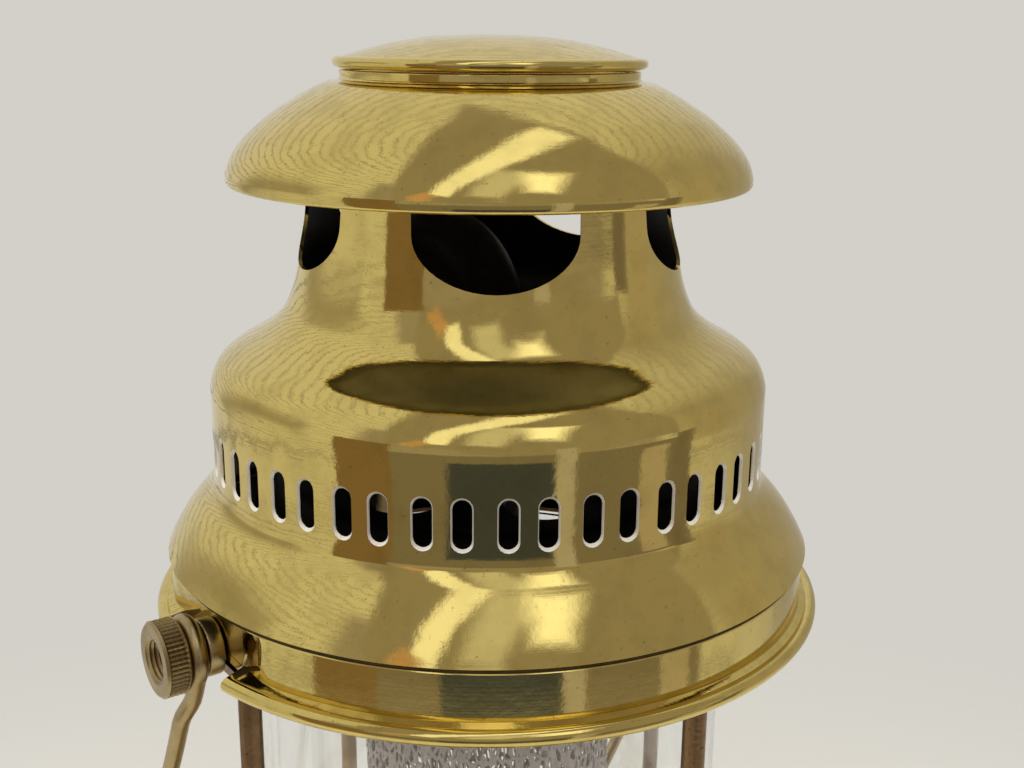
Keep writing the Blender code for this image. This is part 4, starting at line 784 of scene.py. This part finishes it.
form = bmesh.new()
stitches = form.loops.layers.uv.new("stitches")
rounds = []
for point in mantle_line:
    angles = [math.tau * column / COLUMNS for column in range(COLUMNS)]
    pulled = [max(point.x - gather(point, a), 0.0) * MM for a in angles]
    rounds.append([form.verts.new((r * math.cos(a), r * math.sin(a), point.y * MM))
                   for r, a in zip(pulled, angles)])
for index, (lower, upper) in enumerate(zip(rounds, rounds[1:])):
    for column in range(COLUMNS):
        after = (column + 1) % COLUMNS
        face = form.faces.new((lower[column], lower[after], upper[after], upper[column]))
        for loop, (u, v) in zip(face.loops, ((0, 0), (1, 0), (1, 1), (0, 1))):
            loop[stitches].uv = (girth / STITCH * (column + u) / COLUMNS, runs[index + v] / ROW)
print("mantle flat:", round(girth), "by", round(runs[-1]), "mm")

# %% [markdown]
# The knit itself is in the material: strands round long open stitches, on the bag's own UV map. The cloth
# gets its thickness last.

# %% Knit
knit, tree, shader = paint("knitted mantle")
spot = add(tree, "TexCoord").outputs["UV"]
cells = add(tree, "TexVoronoi", [("Vector", spot), ("Scale", 1.0), ("Randomness", 0.75)],
            feature='DISTANCE_TO_EDGE')
strand = add(tree, "MapRange", [("Value", cells.outputs["Distance"]), ("From Min", 0.10),
                                ("From Max", 0.16), ("To Min", 1.0), ("To Max", 0.0)])
fibre = add(tree, "TexNoise", [("Vector", spot), ("Scale", 6.0), ("Detail", 4.0)])
colour = add(tree, "Mix", [(0, fibre.outputs["Fac"]), (6, linear("B0A298")), (7, linear("E0D3C7"))],
             data_type='RGBA')
bump = add(tree, "Bump", [("Height", cells.outputs["Distance"]), ("Strength", 0.6),
                          ("Distance", 0.3 * MM)], invert=True)
feed(tree, shader, [("Base Color", colour), ("Alpha", strand),
                    ("Normal", bump), ("Roughness", 0.85), ("Sheen Weight", 0.3)])
finishes["mantle_knit"] = knit
mantle = placed("mantle_knitted", form, knit, 180)
ply = mantle.modifiers.new("ply", 'SOLIDIFY')
ply.thickness, ply.offset = 0.4 * MM, -1.0
dressed(mantle, "mantle")
print("stitches round the mantle:", round(girth / STITCH))

# %% [markdown]
# The tie is a two-ply thread that goes once round the gathers and holds them in the groove. Each ply is a
# wire that winds round the same circle.

# %% Mantle tie
TIE_RADIUS, TIE_Z, PLY = 12.2, 257.6, 0.34      # of the tie's circle, and half of one ply
twist = []
for ply_turn in (0.0, math.pi):
    plies = []
    for angle in [math.tau * step / 240 for step in range(240)]:
        wind = ply_turn + 22 * angle
        reach = TIE_RADIUS + PLY * math.cos(wind)
        plies.append(Vector((reach * math.cos(angle), reach * math.sin(angle), TIE_Z + PLY * math.sin(wind))))
    twist.append(wire("mantle_tie_ply", plies, PLY, tie_thread, closed=True))
combine(twist[0], twist[1], 'UNION')
twist[0].name = "mantle_tie_thread"
dressed(twist[0], "mantle_tie")
print("tie circle:", 2 * TIE_RADIUS, "mm")

# %% [markdown]
# ## Vaporizer
# Paraffin rises through the tube, boils in the loop round the burner and leaves the jet as gas. A cup on
# the tube holds the spirit that heats it before lighting. The loop leaves the tube and comes back along
# tangents of its circle, rising all the way.

# %% Vaporizer
tube_place = Matrix.Translation(burner_way * MOUTH_OUT * MM)
turned("vaporizer_tube", [(2.2, 141.9), (3.6, 141.9), (3.6, 295.7), (2.2, 295.7)], 48, tube_place)
turned("jet", [(0.9, 296.0), (4.3, 296.0), (4.6, 296.3), (4.6, 300.2), (4.3, 300.5), (1.8, 303.5),
               (0.9, 303.5)], 48, tube_place)
turned("spirit_cup", [(3.9, 147.6), (8.8, 147.6)] + arc((8.8, 148.8), 1.2, -90, 0, 6)
       + arc((9.5, 157.1), 0.5, 0, 180, 6) + [(9.0, 149.2), (8.4, 148.6), (4.9, 148.6), (4.9, 157.4),
                                              (4.6, 157.6), (3.9, 157.6)], 64, tube_place)
LOOP, LOOP_LOW, LOOP_RISE = 21.2, 262.5, 8.5
slant = math.asin(LOOP / MOUTH_OUT)
touch = 90 - math.degrees(slant)
flat_ring = arc((0, 0), LOOP, touch, 360 - touch, 84)
ends = [Vector((MOUTH_OUT - 3.9 * math.cos(slant), sign * 3.9 * math.sin(slant))) for sign in (1, -1)]
shares = [0.0] + [(1 + 14 * index / 84) / 16 for index in range(85)] + [1.0]
turn = Matrix.Rotation(BURNER_TURN, 3, 'Z')
loop = [turn @ Vector((p.x, p.y, LOOP_LOW + LOOP_RISE * share))
        for p, share in zip(ends[:1] + flat_ring + ends[1:], shares)]
dressed(wire("heating_loop_bent", loop, 2.7, aged), "heating_loop")
print("loop tube:", round(sum((b - a).length for a, b in zip(loop, loop[1:]))), "mm long")

# %% [markdown]
# ## Valve
# The block stands on a hexagon boss on the fount. Its spindle lifts the needle that cleans the jet and
# ends in a small wheel outside the cage. A hexagon nut is a turned blank with chamfered ends, milled to
# six flats, so it is a spun ring met with a prism.

# %% Valve
def hexed(node, radius, bore, low, high, place):
    """A hexagon nut with chamfered corners; the radius is to its corners."""
    flat = radius * math.cos(math.pi / 6)
    drop = 0.45 * (radius - flat)
    nut = turned(node, [(bore, low), (flat, low), (radius, low + drop), (radius, high - drop), (flat, high),
                        (bore, high)], 96, place)
    form = bmesh.new()
    centre = Matrix.Translation((0, 0, (low + high) / 2 * MM))
    middle = place @ centre @ Matrix.Rotation(math.pi / 6, 4, 'Z')
    bmesh.ops.create_cone(form, cap_ends=True, segments=6, radius1=radius * MM, radius2=radius * MM,
                          depth=(high - low + 2) * MM, matrix=middle)
    combine(nut, placed("hexagon", form, finishes[slot_of[node]]), 'INTERSECT')


joints = {joint["name"]: joint for joint in frame["joints"]}
spindle_way = joints["valve_turn"]["axis"]
spindle_place = standing(Vector(joints["valve_turn"]["pos_m"]) / MM, spindle_way)
hexed("vaporizer_boss", 11.0, 3.3, 95.3, 103.3, tube_place)
block = turned("valve_block", [(0, 103.6), (7.5, 103.6), (8.5, 104.6), (8.5, 140.6), (7.5, 141.6),
                               (0, 141.6)], 96, tube_place)
arm_section = [(0, 0), (6.2, 0), (6.2, 21.0), (5.7, 21.5), (0, 21.5)]
arm = spun("valve_arm", arm_section, polished, 64, spindle_place)
combine(block, arm, 'UNION')
combine(block, drills(2.8, 0.5, 30, spindle_place))
combine(block, drills(2.2, 100, 145, tube_place))
hexed("gland_nut", 7.6, 2.8, 21.8, 28.8, spindle_place)
turned("valve_spindle", [(0, 1.6), (2.1, 1.6), (2.4, 1.9), (2.4, 64.3), (2.0, 64.7), (0, 64.7)], 40,
       spindle_place)
hexed("wheel_nut", 4.4, 2.7, 60.3, 64.7, spindle_place)
wheel = turned("valve_wheel", [(2.7, 54.3), (3.0, 54.0), (4.9, 54.0), (5.2, 54.3), (5.2, 59.7),
                               (4.9, 60.0), (3.0, 60.0), (2.7, 59.7)], 64, spindle_place)
combine(wheel, spun("wheel_rim", arc((12.9, 57.0), 2.1, 0, 345, 23), blackened, 96, spindle_place), 'UNION')
spoke_section = [(0, 4.2), (1.5, 4.2), (1.2, 6.0), (1.2, 11.0), (1.5, 12.6), (0, 12.6)]
for count in range(5):
    spoke = Matrix.Rotation(math.tau * count / 5, 4, 'Z') @ Matrix.Rotation(math.pi / 2, 4, 'Y')
    place = spindle_place @ Matrix.Translation((0, 0, 57 * MM)) @ spoke
    combine(wheel, spun("wheel_spoke", spoke_section, blackened, 24, place), 'UNION')
print("wheel faces:", len(wheel.data.polygons))

# %% [markdown]
# ## Fount
# The fount is spun like the hood, from heavier sheet, and stands on a rolled foot. A dished bottom is
# soldered in. Holes for the pump, the filler and the pickup tube are drilled square to its face.

# %% Fount
SHOULDER_CIRCLE, SHOULDER_Z, SHOULDER_BEND = 57.5, 65.0, 30.0


def on_shoulder(joint):
    """The place where a joint's axis leaves the fount's rounded shoulder, square to it."""
    way = Vector(joints[joint]["axis"])
    level = Vector((way.x, way.y, 0)).normalized()
    return standing(level * SHOULDER_CIRCLE + Vector((0, 0, SHOULDER_Z)) + way * SHOULDER_BEND, way)


pump_place = on_shoulder("pump_stroke")
filler_place = on_shoulder("filler_cap_turn")
fount_line = [(76.5, 0), (81.4, 0)] + smooth_line(
    [(82.4, 0.3), (84.2, 2.2), (86.1, 5.2), (87.2, 8.4), (87.5, 11.4)], 5)
fount_line += [(87.5, 25), (87.5, 45)] + arc((SHOULDER_CIRCLE, SHOULDER_Z), SHOULDER_BEND, 0, 90, 36)
fount_line += [(40, 95), (0, 95)]
fount = turned("fount_shell", walled(fount_line, 1.2), 200)
combine(fount, drills(10.8, -15, 15, pump_place))
combine(fount, drills(11.8, -15, 15, filler_place))
combine(fount, drills(3.3, 80, 110, tube_place))
dish = smooth_line([(0, 7.5), (20, 6.9), (40, 5.5), (60, 3.7), (80.1, 1.5)])
turned("fount_bottom", walled(dish, 1.2), 200)
print("fount top:", SHOULDER_Z + SHOULDER_BEND, "mm")

# %% [markdown]
# ## Filler and gauge
# The filler's cap has a knurled skirt and a pressure gauge in its top. A small screw in its side lets
# the pressure out. The dial is enamel and lies under a glass that a bezel holds.

# %% Filler and gauge
neck_thread = [(11.5 if index % 2 else 11.1, 0.8 + 0.5 * index) for index in range(12)]
neck = [(9.7, -5.0), (11.5, -5.0), (11.5, 0.4)] + neck_thread + [(11.2, 7.2), (9.7, 7.2)]
turned("filler_neck", neck, 96, filler_place)
turned("cap_gasket", [(9.7, 7.7), (9.9, 7.5), (11.3, 7.5), (11.5, 7.7), (11.5, 8.9), (11.3, 9.1),
                      (9.9, 9.1), (9.7, 8.9)], 96, filler_place)
cap = turned("filler_cap", [(11.9, 9.4), (11.9, 1.9), (12.4, 1.4), (14.9, 1.4)] + rows(15.3, 1.8, 7.8, 0.4)
             + [(14.9, 8.1), (14.9, 8.6), (15.3, 9.0), (15.3, 20.6)] + arc((14.5, 20.4), 0.8, 0, 90, 5)
             + [(14.0, 21.2), (13.7, 20.9), (13.7, 14.6), (0, 14.6), (0, 9.4)], 288, filler_place)
knurled(cap, filler_place, 15.3, 1.9, 7.7, 72, 0.45)
vent_way = joints["release_screw_turn"]["axis"]
vent_place = standing(Vector(joints["release_screw_turn"]["pos_m"]) / MM, vent_way)
combine(cap, drills(1.8, 11.9, 18, vent_place))
vent = turned("release_screw", [(0, 12.2), (1.5, 12.2), (1.5, 15.7), (3.6, 15.7)]
              + rows(4.0, 16.1, 21.7, 0.35) + [(3.5, 22.2), (0, 22.2)], 112, vent_place)
knurled(vent, vent_place, 4.0, 16.2, 21.6, 28, 0.30)
turned("gauge_dial", [(0, 14.9), (13.4, 14.9), (13.4, 15.5), (0, 15.5)], 96, filler_place)
turned("gauge_bezel", [(12.2, 19.9), (13.4, 19.9), (13.4, 20.8)] + arc((13.0, 20.8), 0.4, 0, 90, 4)
       + [(12.6, 21.1), (12.1, 20.4), (12.0, 20.1)], 128, filler_place)
turned("gauge_glass", [(0, 18.4), (13.2, 18.4), (13.4, 18.6), (13.4, 19.0), (13.0, 19.2), (8.0, 19.5),
                       (0, 19.6)], 96, filler_place)
print("filler cap faces:", len(cap.data.polygons))

# %% [markdown]
# The scale runs from 0 to 3 bar over three quarters of a turn, clockwise from the hand's rest at the
# lower left. Long marks carry a figure. All are printed, so they are flat faces 0.02 mm over the enamel.

# %% Gauge marks
DIAL_FACE = 15.52
SCALE_START, SCALE_TURN, MARKS = 135.0, -270.0, 30


def on_dial(x, y):
    """A spot on the dial's face, in metres."""
    return filler_place @ (Vector((x, y, DIAL_FACE)) * MM)


form = bmesh.new()
for mark in range(MARKS + 1):
    angle = math.radians(SCALE_START + SCALE_TURN * mark / MARKS)
    along, aside = Vector((-math.sin(angle), math.cos(angle))), Vector((math.cos(angle), math.sin(angle)))
    start, thick = (9.4, 0.16) if mark % 10 == 0 else (10.3 if mark % 5 == 0 else 10.7, 0.09)
    corners = [along * start - aside * thick, along * start + aside * thick, along * 11.7 + aside * thick,
               along * 11.7 - aside * thick]
    form.faces.new([form.verts.new(on_dial(*corner)) for corner in corners])
marks = placed("gauge_marks", form, ink)
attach(marks, "filler_cap")
for figure in range(4):
    angle = math.radians(SCALE_START + SCALE_TURN * figure / 3)
    words = bpy.data.curves.new("figure", 'FONT')
    words.body, words.size, words.align_x, words.align_y = str(figure), 3.4, 'CENTER', 'CENTER'
    form = formed(words)
    for vertex in form.verts:
        vertex.co = on_dial(vertex.co.x - 7.4 * math.sin(angle), vertex.co.y + 7.4 * math.cos(angle))
    number = placed(f"gauge_figure_{figure}", form, ink)
    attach(number, "filler_cap")
print("marks:", MARKS + 1)

# %% [markdown]
# ## Pump
# The pump's barrel runs into the fount. A knurled gland closes it and guides the rod, and a turned knob
# is pulled out to pump.

# %% Pump
gland_section = [(10.8, 6.3), (10.8, 1.9), (11.2, 1.5), (13.2, 1.5)] + rows(13.6, 1.9, 7.9, 0.4)
gland_section += [(13.2, 8.3), (12.4, 8.7), (11.8, 9.5), (3.8, 9.5), (3.4, 9.1), (3.4, 6.3)]
gland = turned("pump_gland", gland_section, 256, pump_place)
knurled(gland, pump_place, 13.6, 2.0, 7.8, 64, 0.45)
turned("pump_rod", [(0, -90.38), (2.7, -90.38), (3.0, -90.1), (3.0, 19.8), (2.7, 20.1), (0, 20.1)], 40,
       pump_place)
turned("pump_knob", [(3.3, 9.9), (6.6, 9.9), (7.0, 10.3)] + smooth_line(
    [(7.0, 12.4), (7.4, 13.3), (9.0, 14.2), (10.6, 15.2), (11.0, 16.8), (10.9, 18.9), (10.4, 21.0),
     (9.0, 22.9), (7.0, 23.75)], 5) + [(5.0, 23.9), (0, 23.9), (0, 20.4), (3.3, 20.4)], 128, pump_place)
print("pump stroke:", joints["pump_stroke"]["range_m"])

# %% [markdown]
# ## Kept pieces
# The pieces that keep their CAD shape, such as the studs and the pump's inside, take the finish of
# their slot.

# %% Kept pieces
for node, slot_name in slot_of.items():
    nodes[node].data.materials.clear()
    nodes[node].data.materials.append(finishes[slot_name])
